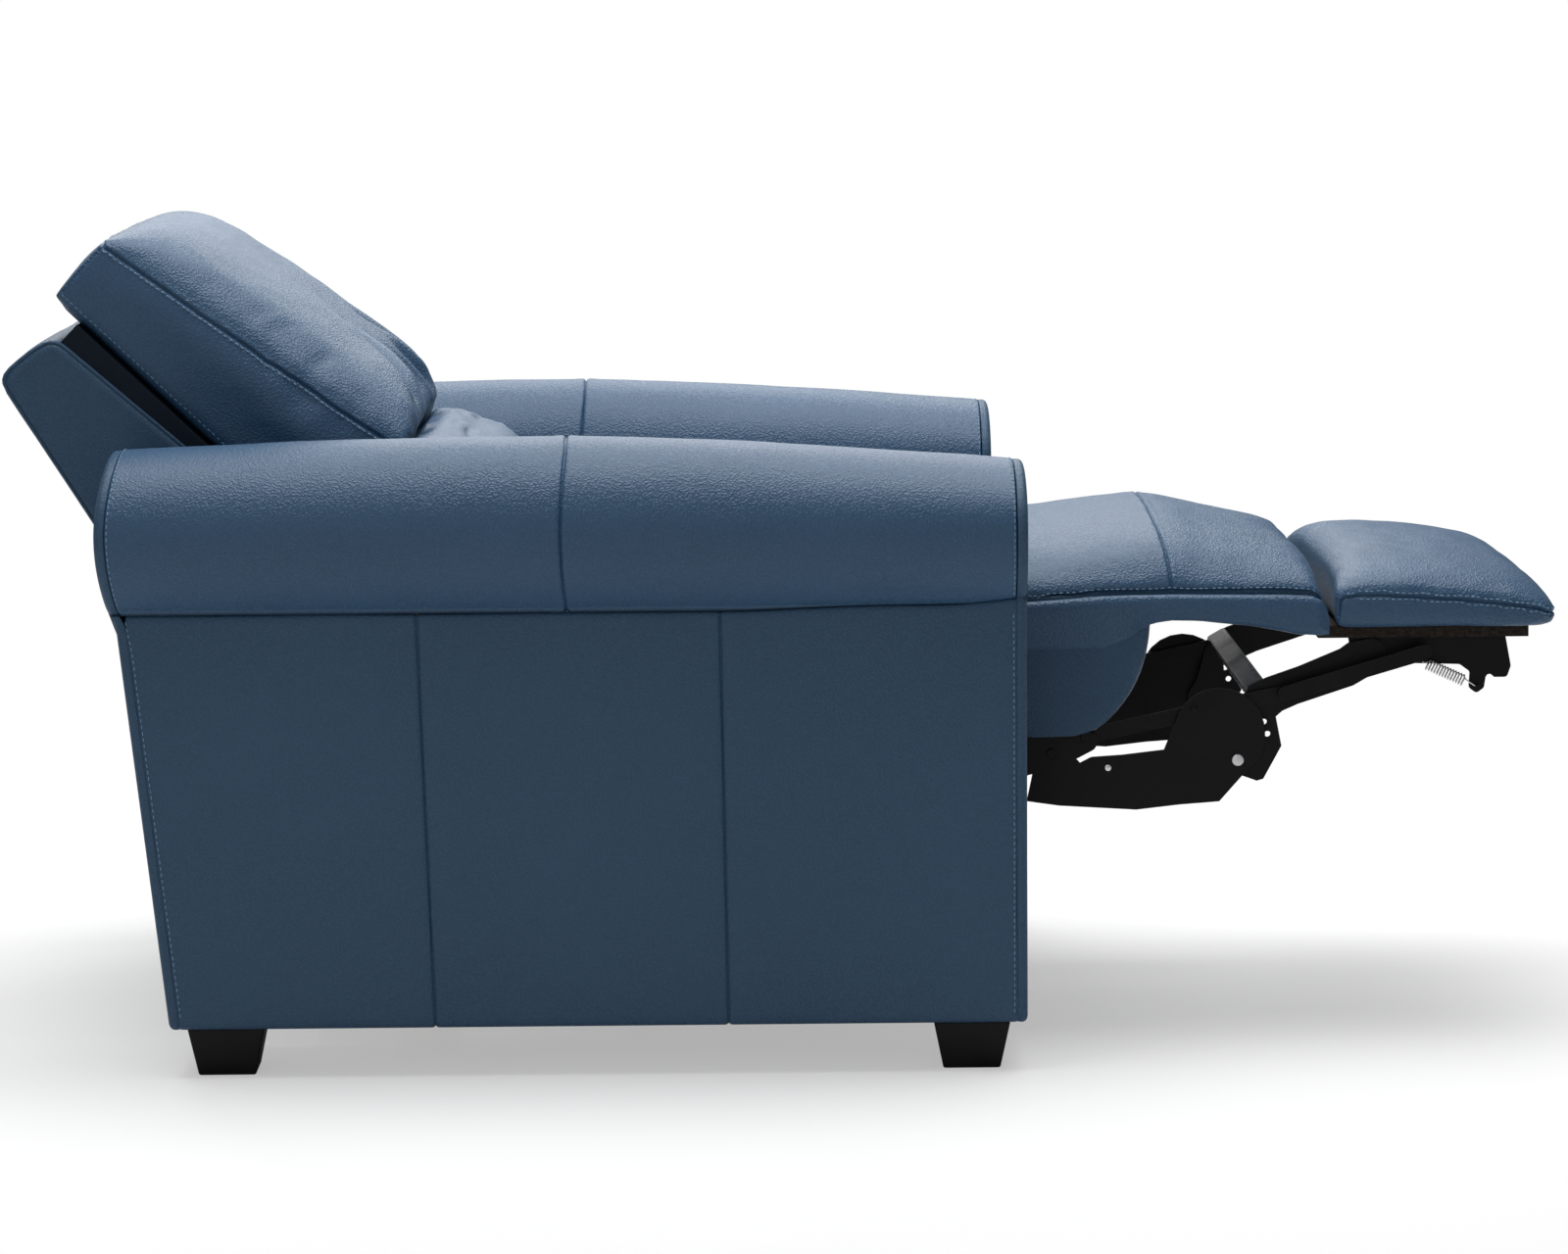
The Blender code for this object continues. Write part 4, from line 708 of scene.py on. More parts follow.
@dataclass
class Studio:
    """Pale floor, soft lamps and the camera at the photograph's place."""

    camera_place: Point = (-0.054, -5.80, 1.110)
    pitch: float = 83.04
    heading: float = -0.535
    roll: float = -0.45
    lens: float = 123.4
    floor_half: float = 6.0
    fill: float = 0.26

    def build(self) -> None:
        """Makes the floor, world, lamps and camera."""
        bpy.context.scene.view_settings.view_transform = "Standard"
        self.floor()
        self.world()
        self.lamps()
        self.camera()

    def floor(self) -> None:
        """A floor that is white to the camera where light falls on it, and keeps the shadow."""
        deselect()
        bpy.ops.mesh.primitive_plane_add(size=2 * self.floor_half, location=(0.0, 0.0, 0.0))
        floor = bpy.context.active_object
        floor.name = "floor"
        bpy.ops.object.transform_apply(location=True, rotation=True, scale=True)
        material = bpy.data.materials.new("studio floor")
        material.use_nodes = True
        w = Wiring(material.node_tree)
        shader = material.node_tree.nodes["Principled BSDF"]
        end = material.node_tree.nodes["Material Output"]
        place = w.node("TexCoord").outputs["Object"]
        tint = w.blend(w.noise(place, 3.0), (0.80, 0.80, 0.80), (0.83, 0.83, 0.83))
        w.join(tint, shader.inputs["Base Color"])
        shader.inputs["Roughness"].default_value = 0.75
        shader.inputs["Specular IOR Level"].default_value = 0.2
        glow = w.node("Emission", {"Color": WHITE})
        seen = self.seen(w)
        reach = w.node("VectorMath", {0: place}, operation="LENGTH").outputs["Value"]
        glowing = w.math("MULTIPLY", seen, w.remap(reach, 0.9, 2.4, (0.42, 1.0)))
        share = w.node("MixShader", {0: glowing, 1: shader.outputs[0], 2: glow.outputs[0]})
        w.join(share.outputs[0], end.inputs[0])
        floor.data.materials.append(material)

    def seen(self, w: Wiring) -> bpy.types.NodeSocket:
        """One for rays that come straight from the camera or through glass."""
        path = w.node("LightPath")
        return w.math("MAXIMUM", path.outputs["Is Camera Ray"], path.outputs["Is Transmission Ray"])

    def world(self) -> None:
        """White where the camera sees it, straight or through glass, and soft light elsewhere."""
        world = bpy.data.worlds.new("studio")
        bpy.context.scene.world = world
        world.use_nodes = True
        w = Wiring(world.node_tree)
        shader = world.node_tree.nodes["Background"]
        seen = self.seen(w)
        shader.inputs["Color"].default_value = WHITE
        w.join(w.math("MULTIPLY_ADD", seen, 1.0 - self.fill, self.fill), shader.inputs["Strength"])

    def lamp(self, name: str, place: Point, aim: Point, size: Point, power: float) -> None:
        """One soft rectangular lamp.

        Args:
            name: its name.
            place: where it hangs.
            aim: the point it faces.
            size: its width and height, and the spread of its light in degrees.
            power: its power in watts.
        """
        data = bpy.data.lights.new(name, "AREA")
        data.shape = "RECTANGLE"
        data.size, data.size_y = size[0], size[1]
        data.spread = math.radians(size[2])
        data.energy = power
        lamp = placed(name, data)
        lamp.location = place
        lamp.rotation_euler = (Vector(aim) - Vector(place)).to_track_quat("-Z", "Y").to_euler()

    def lamps(self) -> None:
        """A broad lamp above, a wide front fill and a rim from behind."""
        self.lamp("top lamp", (0.0, 0.1, 2.9), (0.05, 0.0, 0.3), (3.2, 2.0, 150.0), 90.0)
        self.lamp("front fill", (-0.9, -4.2, 1.5), (0.0, 0.0, 0.45), (3.0, 2.0, 150.0), 16.5)
        self.lamp("rear rim", (-0.4, 2.6, 2.2), (0.0, 0.0, 0.5), (3.0, 1.4, 150.0), 36.0)

    def camera(self) -> None:
        """The camera, about half a metre above the arm tops, looking slightly down at one side."""
        data = bpy.data.cameras.new("camera")
        data.lens = self.lens
        data.sensor_width = 36.0
        camera = placed("camera", data)
        turn = (Matrix.Rotation(math.radians(self.heading), 4, "Z")
                @ Matrix.Rotation(math.radians(self.pitch), 4, "X")
                @ Matrix.Rotation(math.radians(self.roll), 4, "Z"))
        camera.matrix_world = Matrix.Translation(self.camera_place) @ turn
        bpy.context.scene.camera = camera


# --------------------------------------------------------------------------- arms


def offset_loop(loop: Sequence[tuple[float, float]], inset: float) -> list[tuple[float, float]]:
    """A closed outline moved inwards by a small distance."""
    area = sum(a[0] * b[1] - b[0] * a[1] for a, b in zip(loop, [*loop[1:], loop[0]]))
    turn = 1.0 if area > 0 else -1.0
    moved = []
    for i, (y, z) in enumerate(loop):
        before, after = loop[i - 1], loop[(i + 1) % len(loop)]
        along = Vector((after[0] - before[0], after[1] - before[1])).normalized()
        moved.append((y - turn * along.y * inset, z + turn * along.x * inset))
    return moved


def waver(piece: bpy.types.Object, slow: float, fine: float, keep: Keep) -> None:
    """Makes a stretched leather surface gently uneven.

    Args:
        piece: the piece.
        slow: height of the hand-sized waves.
        fine: height of the finger-sized waves.
        keep: how much of it a point gets, from 0 to 1.
    """
    normals = [n.vector.copy() for n in piece.data.vertex_normals]
    for vertex, normal in zip(piece.data.vertices, normals):
        spot = vertex.co
        rise = slow * noise.noise(spot * 9.0) + fine * noise.noise(spot * 34.0)
        vertex.co = spot + normal * rise * keep(spot)
    piece.data.update()


@dataclass
class Arms:
    """Both arms: rolled tops, seamed side panels, end panels, stitching and feet.

    inner and outer bound the roll across the chair, crease and crest bound it in height, and band
    is the thickness of an end panel. groove is the half width of a sunk seam, roll_groove and
    panel_groove are its depths, tuck and tuck_run the depth and reach of the drawn-in ends.
    """

    inner: float = 0.2801
    outer: float = 0.480
    panel_out: float = 0.449
    rear_sag: float = 0.009
    front: float = 0.240
    rear_floor: float = -0.620
    rear_roll: float = -0.6715
    row_place: float = 0.0030
    groove: float = 0.0013
    roll_groove: float = 0.0030
    panel_groove: float = 0.0026
    tuck: float = 0.0006
    tuck_run: float = 0.0014
    lean: float = math.radians(7.5)
    bottom: float = 0.0503
    crease: float = 0.473
    axis: float = 0.550
    crest: float = 0.645
    band: float = 0.0105
    roll_seam: float = -0.222
    panel_seams: tuple[tuple[float, float], ...] = ((-0.0683, -0.0629), (-0.3729, -0.3597))
    foot_tall: float = 0.050
    foot_top: float = 0.078
    foot_low: float = 0.058

    def build(self) -> None:
        """Makes every piece of both arms."""
        for where in Where:
            stitching = Stitching()
            roll = self.roll(where)
            panel = self.panel(where)
            self.end_panel(where, True)
            self.end_panel(where, False)
            self.rows(where, stitching, roll, panel)
            thread = stitching.sewn(f"{where.word}_arm_stitching")
            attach(thread, "base")
            for end, x in (("front", self.front - 0.056), ("rear", self.rear_floor + 0.047)):
                self.foot(where, end, x)

    def crease_at(self, x: float) -> float:
        """Height of the crease under the roll, which climbs towards the front."""
        climb = 0.0045 * ease((x + 0.07) / 0.18)
        return self.crease + climb + 0.0085 * max(0.0, (x - 0.15) / 0.09) ** 1.6

    def rear_at(self, z: float) -> float:
        """Where the arm's rear edge lies at a height."""
        leant = self.rear_floor - (z - self.bottom) * math.tan(self.lean)
        leant -= self.rear_sag * min(max((0.46 - z) / (0.46 - self.bottom), 0.0), 1.0)
        bulge = -0.682 - 0.009 * math.sin(math.pi * min(max((z - self.crease) / 0.16, 0.0), 1.0))
        return mix(leant, bulge, ease((z - 0.46) / 0.02))

    def crest_at(self, x: float) -> float:
        """Height of the roll's crest, highest near the middle."""
        middle = -0.229
        if x > middle:
            return self.crest - 0.028 * ((x - middle) / (self.front - middle)) ** 1.5
        return self.crest - 0.012 * ((middle - x) / 0.46) ** 2.0

    def roll_loop(self, x: float, crease: float) -> list[tuple[float, float]]:
        """The roll's section from its inner foot over the crest to the crease."""
        wide = (self.outer - self.inner) / 2
        centre = self.inner + wide
        tall = self.crest_at(x) - self.axis
        loop = [(self.inner, mix(crease, self.axis, k / 8)) for k in range(8)]
        for k in range(47):
            angle = math.radians(180 - 5 * k)
            rise = tall if k < 37 else wide
            loop.append((centre + wide * math.cos(angle), self.axis + rise * math.sin(angle)))
        tail = loop[-1]
        loop.append((mix(tail[0], self.panel_out, 0.6), mix(tail[1], crease, 0.6)))
        loop.append((self.panel_out - 0.001, crease))
        return [(y, max(z, crease)) for y, z in loop]

    def panel_loop(self, crease: float) -> list[tuple[float, float]]:
        """The panel's section from the crease down the outside and up the inside."""
        out, low = self.panel_out, self.bottom
        loop = [(out - 0.0022, crease), (out - 0.0008, crease - 0.0015), (out, crease - 0.004)]
        rows = 46
        loop += [(out, mix(crease - 0.010, low + 0.012, k / rows)) for k in range(rows + 1)]
        for degrees in (15, 30, 45, 60, 75, 90):
            angle = math.radians(degrees)
            loop.append((out - 0.008 * (1 - math.cos(angle)), low + 0.008 * (1 - math.sin(angle))))
        loop += [(mix(out - 0.02, self.inner + 0.012, k / 6), low) for k in range(7)]
        loop += [(self.inner + 0.0035, low + 0.001), (self.inner, low + 0.006)]
        loop += [(self.inner, mix(low + 0.03, crease - 0.004, k / 16)) for k in range(17)]
        loop.append((self.inner + 0.002, crease))
        return loop

    def roll(self, where: Where) -> bpy.types.Object:
        """The padded roll, in two lengths sewn together near its middle."""
        rings = []
        ahead, behind = self.front - self.band, self.band
        seam = (ahead - self.roll_seam) / (ahead - self.rear_roll)
        near = (0.0, 0.0006, 0.0016, 0.003, 0.005, 0.009, 0.016)
        marks = [(0.0, 0.0012 + d) for d in (0.0, 0.001, 0.003, 0.007)]
        marks += [(seam * k / 20, 0.0) for k in range(1, 20)]
        marks += [(seam, -d) for d in reversed(near)] + [(seam, d) for d in near[1:]]
        marks += [(mix(seam, 1.0, k / 20), 0.0) for k in range(1, 20)]
        marks += [(1.0, -0.0012 - d) for d in (0.007, 0.003, 0.001, 0.0)]
        for share, offset in marks:
            ring = []
            x_mean = mix(ahead, self.rear_roll, share) - offset
            away = abs(x_mean - self.roll_seam)
            groove = self.roll_groove * math.exp(-((away / self.groove) ** 2))
            lift = 0.0006 * math.exp(-(((away - 0.006) / 0.005) ** 2))
            end = min(abs(x_mean - ahead), abs(x_mean - self.rear_roll))
            tuck = self.tuck * math.exp(-end / self.tuck_run)
            crease = self.crease_at(x_mean) + 0.0003
            for y, z in offset_loop(self.roll_loop(x_mean, crease), groove + tuck - lift):
                x = mix(ahead, self.rear_at(z) + behind, share) - offset
                ring.append((x, where.value * y, max(z, crease)))
            rings.append(ring)
        piece = skin(f"{where.word}_arm_roll_leather", rings)

        def above(p: Vector) -> float:
            """Nothing at the crease and on the inner side, all of it on the crown."""
            return ease((p.z - 0.49) / 0.03) * ease((abs(p.y) - 0.285) / 0.03)

        waver(piece, slow=0.0011, fine=0.00035, keep=above)
        settle(piece, LEATHER, "base", f"{where.word}_arm_roll")
        return piece

    def panel(self, where: Where) -> bpy.types.Object:
        """The side panel's three widths of leather, sewn edge to edge, drawn under below."""
        ahead, behind = self.front - self.band, self.band

        def anchors(z: float) -> list[float]:
            """Where the panel's ends and its two seams lie at a height."""
            share = (z - self.bottom) / (self.crease - self.bottom)
            seams = [mix(low, high, share) for high, low in self.panel_seams]
            return [ahead, *seams, self.rear_at(min(z, 0.4599)) + behind]

        near = (0.0006, 0.0016, 0.003, 0.006, 0.012)
        marks: list[tuple[int, float, float]] = []
        for i in range(3):
            marks += [(i, 0.0, d) for d in (0.0, *near)]
            marks += [(i, k / 14, 0.0) for k in range(1, 14)]
            marks += [(i, 1.0, -d) for d in reversed(near)]
        marks.append((2, 1.0, 0.0))
        rings = []
        for i, share, offset in marks:
            ring = []
            line = anchors(0.25)
            x_mean = mix(line[i], line[i + 1], share) - offset
            away = min(abs(x_mean - seam) for seam in line[1:3])
            end = min(abs(x_mean - line[0]), abs(x_mean - line[3]))
            groove = self.panel_groove * math.exp(-((away / self.groove) ** 2))
            groove += self.tuck * math.exp(-end / self.tuck_run)
            for y, z in offset_loop(self.panel_loop(self.crease_at(x_mean) - 0.0002), groove):
                line = anchors(z)
                x = mix(line[i], line[i + 1], share) - offset
                full = math.sin(math.pi * min(max((z - self.bottom) / 0.42, 0.0), 1.0)) ** 0.5
                if y > 0.43:
                    y += 0.0016 * full * (1 - math.exp(-away / 0.012)) * (1 - math.exp(-end / 0.01))
                ring.append((x, where.value * y, z))
            rings.append(ring)
        piece = skin(f"{where.word}_arm_panel_leather", rings)

        def outside(p: Vector) -> float:
            """All of it on the outer face, nothing at the bottom edge."""
            return ease((abs(p.y) - 0.43) / 0.01) * ease((p.z - 0.06) / 0.02)

        waver(piece, slow=0.0010, fine=0.00025, keep=outside)
        settle(piece, SIDE_LEATHER, "base", f"{where.word}_arm_cover")
        piece.data.materials.append(DUST_CLOTH.made())
        for face in piece.data.polygons:
            middle = face.center
            if middle.z < self.bottom + 0.0004 and 0.30 < abs(middle.y) < 0.43:
                face.material_index = 1
        return piece

    def end_panel(self, where: Where, ahead: bool) -> None:
        """The flat panel that closes the arm's front or rear end."""
        rings = []
        steps = (
            (0.0, 0.0009), (0.0004, 0.0006), (0.0012, 0.0003), (0.0028, 0.0001), (0.0055, 0.0),
            (0.0076, 0.0008), (0.0090, 0.0020), (0.0100, 0.0040), (0.0105, 0.0060),
        )
        for out, inset in steps:
            x_mean = self.front - self.band + out if ahead else self.rear_roll - out
            crease = self.crease_at(x_mean)
            loop = self.roll_loop(x_mean, crease) + self.panel_loop(crease)[3:-1]
            rings.append([
                (x_mean if ahead else self.rear_at(z) + self.band - out, where.value * y, z)
                for y, z in offset_loop(loop, inset)
            ])
        name = f"{where.word}_arm_{'front' if ahead else 'rear'}_panel"
        piece = skin(name, rings, capped=False)
        with edited(piece.data) as bm:
            bm.verts.ensure_lookup_table()
            count = len(rings[0])
            for first in (0, count * (len(rings) - 1)):
                rim = set(bm.verts[first:first + count])
                edges = [e for e in bm.edges if e.is_boundary and rim.issuperset(e.verts)]
                bmesh.ops.triangle_fill(bm, edges=edges, use_beauty=True, normal=(1.0, 0.0, 0.0))
            bmesh.ops.recalc_face_normals(bm, faces=bm.faces)
        rounded_faces(piece, 50.0)
        settle(piece, SIDE_LEATHER, "base")

    def rows(
        self, where: Where, stitching: Stitching, roll: bpy.types.Object, panel: bpy.types.Object
    ) -> None:
        """Stitches just behind the end panels, over the roll and down the panel."""
        ahead = self.front - self.band - self.row_place

        def place(front: bool, y: float, z: float) -> Point:
            """A point of the front or rear row from its height."""
            x = ahead if front else self.rear_at(z) + self.band + self.row_place
            return (x, where.value * y, z)

        for front, x_mean in ((True, ahead), (False, -0.66)):
            loop = self.roll_loop(x_mean, self.crease_at(x_mean))
            stitching.row(roll, [place(front, y, z) for y, z in loop[10:-2:3]])
            heights = [mix(0.468, self.bottom + 0.010, k / 12) for k in range(13)]
            stitching.row(panel, [place(front, self.panel_out, z) for z in heights])

    def foot(self, where: Where, end: str, x: float) -> None:
        """A tapered block foot with softened edges, a hair clear of the floor and the arm."""
        deselect()
        y = where.value * (self.panel_out - 0.012 - self.foot_top / 2)
        bpy.ops.mesh.primitive_cube_add(size=1.0, location=(x, y, self.foot_tall / 2))
        foot = bpy.context.active_object
        foot.name = f"{end}_{where.word}_block_foot"
        foot.scale = (self.foot_top, self.foot_top, self.foot_tall - 0.0001)
        bpy.ops.object.transform_apply(location=True, rotation=True, scale=True)
        bpy.ops.object.mode_set(mode="EDIT")
        bm = bmesh.from_edit_mesh(foot.data)
        for face in bm.faces:
            face.select_set(face.normal.z < -0.9)
        bm.select_flush_mode()
        bmesh.update_edit_mesh(foot.data)
        share = self.foot_low / self.foot_top
        bpy.ops.transform.resize(value=(share, share, 1.0), center_override=(x, y, 0.0))
        bpy.ops.mesh.select_all(action="SELECT")
        bpy.ops.mesh.bevel(offset=0.0022, segments=3, affect="EDGES")
        bpy.ops.object.mode_set(mode="OBJECT")
        bpy.context.scene.cursor.location = (0.0, 0.0, 0.0)
        bpy.ops.object.origin_set(type="ORIGIN_CURSOR")
        rounded_faces(foot, 35.0)
        settle(foot, PLASTIC, "base", f"{end}_{where.word}_foot")


# --------------------------------------------------------------------------- seat and leg rest


def dome(half: float, seam: float, top: float, valley: float = 0.0, steps: int = 40) -> list:
    """The crown of a pad from its left seam over the middle to its right seam, as (y, z)."""
    points = []
    for k in range(steps + 1):
        angle = math.radians(mix(90.0, -90.0, k / steps))
        share = math.sin(angle)
        rise = (1 - min(abs(share), 1.0) ** 2.6) ** 0.55
        dip = valley * math.exp(-((share / 0.22) ** 2))
        points.append((half * share, seam + (top - seam) * rise - dip))
    return points


@dataclass
class Seat:
    """The seat: its crowned top down to the footrest, boxing strips and the box's leather."""

    half: float = 0.275
    rear: float = -0.183
    knee: float = 0.389
    end: float = 0.5640
    box_half: float = 0.2637
    box_bottom: float = 0.3163
    sag: float = 0.008
    tops: tuple = (
        (-0.183, 0.495), (-0.171, 0.509), (-0.148, 0.518), (-0.009, 0.5240), (0.166, 0.5265),
        (0.282, 0.532), (0.345, 0.5405), (0.384, 0.5450), (0.398, 0.5440), (0.4165, 0.5410),
        (0.448, 0.5325), (0.4926, 0.5215), (0.530, 0.5130), (0.546, 0.5095), (0.555, 0.5025),
        (0.560, 0.4910), (0.564, 0.4660),
    )
    seams: tuple = (
        (-0.183, 0.470), (0.250, 0.4665), (0.330, 0.4722), (0.400, 0.4735), (0.520, 0.4722),
        (0.545, 0.4706), (0.556, 0.4660), (0.562, 0.4570), (0.564, 0.4440),
    )
    flaps: tuple = (
        (-0.183, 0.4180), (0.250, 0.4170), (0.330, 0.4160), (0.356, 0.4270), (0.378, 0.4435),
        (0.400, 0.4460), (0.430, 0.4450), (0.480, 0.4395), (0.530, 0.4305), (0.564, 0.4295),
    )

    def build(self) -> None:
        """Makes the seat's pieces."""
        stitching = Stitching()
        self.top(stitching)
        for where in Where:
            self.boxing(where)
        self.bolster()
        self.box()
        settle(stitching.sewn("seat_stitching"), THREAD, "knee")

    def underside(self, x: float, y: float) -> float:
        """Height of the pad's underside, raised over the linkage and lipped at its end."""
        rows = ((0.392, 0.4652), (0.404, 0.4785), (0.470, 0.4785), (0.505, 0.4690), (0.565, 0.4690))
        level = table(rows, x)[0]
        lip = ease((abs(y) - 0.245) / 0.010)
        return mix(level, self.seam_at(x) - 0.009, lip)

    def seam_at(self, x: float) -> float:
        """Height of the side seam."""
        return table(self.seams, x)[0] - self.sag_at(x)

    def sag_at(self, x: float) -> float:
        """How far the leather hangs down ahead of the arms."""
        return self.sag * ease((x - 0.12) / 0.12)

    def top(self, stitching: Stitching) -> None:
        """The crowned top, one pad from the back of the seat over the knee to the footrest."""
        rings = []
        stops = [mix(self.rear + 0.003, 0.545, k / 60) for k in range(61)]
        stops += [0.549, 0.553, 0.5565, 0.5590, 0.5605]
        for x in stops:
            seam = self.seam_at(x)
            top = max(table(self.tops, x)[0] - self.sag_at(x) - SLACK, seam + 0.004)
            draw = 0.012 * (1 - ease((x - self.rear) / 0.012))
            half = self.half - SLACK - draw
            crown = dome(half, seam, top)
            ring = [(x, y, z if abs(y) > 0.24 else max(z, self.underside(x, y) + 0.004))
                    for y, z in crown]
            for k in range(29):
                y = mix(-half + 0.008, half - 0.008, k / 28)
                ring.append((x, y, self.underside(x, y)))
            rings.append(ring)
        piece = skin("seat_top_pad", rings)
        swell(piece, voxel=0.0065, pressure=4.0, cap=0.0065)
        waver(piece, slow=0.0022, fine=0.0007,
              keep=lambda p: ease((p.z - self.seam_at(p.x) - 0.004) / 0.02))
        for side in SIDES:
            line = [(x, side * (self.half - 0.0005), self.seam_at(x) + 0.001)
                    for x in (-0.15, 0.0, 0.15, 0.25, 0.33, 0.40, 0.46, 0.52)]
            line += [(x, side * (self.half - 0.001), z)
                     for x, z in ((0.547, 0.4625), (0.558, 0.454), (0.562, 0.444))]
            press(piece, line, depth=0.0024, width=0.0015, puff=0.0005)
            stitching.row(piece, [(x, y, z + 0.0048) for x, y, z in line[1:-2]])
            stitching.row(piece, [(line[-3][0], line[-3][1], line[-3][2] + 0.005),
                                  (0.5535, side * 0.272, 0.462)])
        cross = [(self.knee + 0.0115 * (abs(y) / self.half) ** 3, y, z) for y, z in
                 dome(self.half, self.seam_at(self.knee), 0.5455 - self.sag, steps=24)]
        press(piece, cross, depth=0.0026, width=0.0014, puff=0.0005)
        for part in (cross[2:9], cross[16:23]):
            stitching.row(piece, [(x + 0.0046, y, z - 0.001) for x, y, z in part])
        settle(piece, LEATHER, "knee", "seat_cushion", "leg_pad")

    def boxing(self, where: Where) -> None:
        """A strip of leather that hangs from the side seam, plump and hemmed below."""
        rings = []
        stops = [mix(self.rear + 0.004, 0.545, k / 90) for k in range(91)]
        stops += [0.549, 0.553, 0.5565, 0.5595, 0.5618, 0.5632, 0.5640]
        for x in stops:
            high = self.seam_at(x) - 0.0004
            merged = 1 - ease((x - 0.350) / 0.035)
            low = table(self.flaps, x)[0] - self.sag_at(x)
            low += 0.0012 * noise.noise(Vector((x * 21.0, 0.3, where.value)))
            end = ease((self.end - x) / 0.012)
            out = mix(self.half - 0.006, self.half - 0.0002, end)
            back = mix(self.half - 0.0098, self.box_half - 0.0030, merged)
            ring = []
            for k in range(15):
                share = k / 14
                z = mix(high, low, share)
                bow = 0.0016 * math.sin(math.pi * share) - 0.003 * (1 - ease(share / 0.12))
                roll = 0.004 * ease((share - 0.88) / 0.12) * (1 - merged)
                drawn = (out - self.box_half - 0.0008) * ease(share) * merged
                ring.append((x, where.value * (out + bow * end - roll - drawn), z))
            ring.append((x, where.value * (back + 0.002), low - 0.0004))
            ring += [(x, where.value * back, mix(low + 0.001, high, k / 6)) for k in range(7)]
            rings.append(ring)
        piece = skin(f"{where.word}_seat_boxing", rings)
        waver(piece, slow=0.0010, fine=0.0004,
              keep=lambda p: 1.0 if abs(p.y) > self.half - 0.006 else 0.0)
        settle(piece, LEATHER, "knee")

    def bolster(self) -> None:
        """The seat's tail behind the crown, riding on the carriage."""
        rings = []
        for k in range(25):
            angle = math.pi * k / 24
            x = mix(-0.2440, -0.1760, 0.5 - 0.5 * math.cos(angle))
            full = math.sin(angle) ** 0.45 if 0 < k < 24 else 0.12
            top = mix(0.482, mix(0.506, 0.515, k / 24), full)
            half = self.half - 0.006 - 0.014 * (1 - full)
            ring = [(x, y, z) for y, z in dome(half, 0.476, top)]
            ring += [(x, mix(-half + 0.01, half - 0.01, j / 20), 0.4655) for j in range(21)]
            rings.append(ring)
        piece = skin("seat_tail_pad", rings)
        swell(piece, voxel=0.0065, pressure=3.0, cap=0.0020)
        settle(piece, LEATHER, "carriage")
        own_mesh(piece)

    def box(self) -> None:
        """The leather drawn round the seat box's sides and front, turned under below."""
        profile = [
            (0.3803, 0.4638), (0.3800, 0.4560), (0.3792, 0.4450), (0.3779, 0.4200),
            (0.3752, 0.4050), (0.3714, 0.3900), (0.3652, 0.3735), (0.3578, 0.3590),
            (0.3495, 0.3470), (0.3390, 0.3350), (0.3290, 0.3260), (0.3200, 0.3208),
            (0.3120, 0.3184), (0.3070, 0.3170), (0.3045, self.box_bottom),
        ]
        loops = [self.box_loop(x, z, 0.0) for x, z in profile]
        loops += [self.box_loop(0.3025, self.box_bottom - 0.0004, 0.004),
                  self.box_loop(0.3010, self.box_bottom, 0.010)]
        mesh = bpy.data.meshes.new("seat_box_leather")
        with edited(mesh) as bm:
            rows = [[bm.verts.new(p) for p in loop] for loop in loops]
            for near, far in zip(rows, rows[1:]):
                for i in range(len(near) - 1):
                    bm.faces.new((near[i], far[i], far[i + 1], near[i + 1]))
            bm.normal_update()
            if sum(f.normal.x for f in bm.faces if f.calc_center_median().x > 0.36) < 0:
                bmesh.ops.reverse_faces(bm, faces=bm.faces)
        mesh.shade_smooth()
        piece = placed("seat_box_leather", mesh)
        applied(piece, "SUBSURF", levels=1, render_levels=1)
        waver(piece, slow=0.0010, fine=0.0005,
              keep=lambda p: ease((p.x + 0.10) / 0.1) * ease((0.45 - p.z) / 0.02))
        for side in SIDES:
            y = side * self.box_half
            press(piece, [(0.300, y, 0.4600), (0.335, y, 0.4550), (0.372, y, 0.4440)],
                  depth=0.0020, width=0.0040, puff=0.0008, fade=0.02)
            press(piece, [(0.352, y, 0.4200), (0.345, y, 0.3900), (0.330, y, 0.3600)],
                  depth=0.0008, width=0.0050, puff=0.0005, fade=0.02)
        applied(piece, "SOLIDIFY", thickness=0.0014, offset=-1.0)
        settle(piece, SIDE_LEATHER, "carriage", "right_seat_skirt", "left_seat_skirt")

    def box_loop(self, front: float, z: float, inset: float) -> Ring:
        """One level of the box's leather from the rear of one side round to the other."""
        half, corner = self.box_half - inset, 0.013
        loop = [(mix(-0.198, front - corner, (k / 16) ** 0.8), -half, z) for k in range(17)]
        for k in range(1, 6):
            angle = math.radians(18 * k)
            loop.append((front - corner + corner * math.sin(angle),
                         -half + corner - corner * math.cos(angle), z))
        mirrored = [(x, -y, z) for x, y, _ in reversed(loop)]
        loop += [(front, mix(-half + corner, half - corner, k / 22), z) for k in range(1, 22)]
        return loop + mirrored


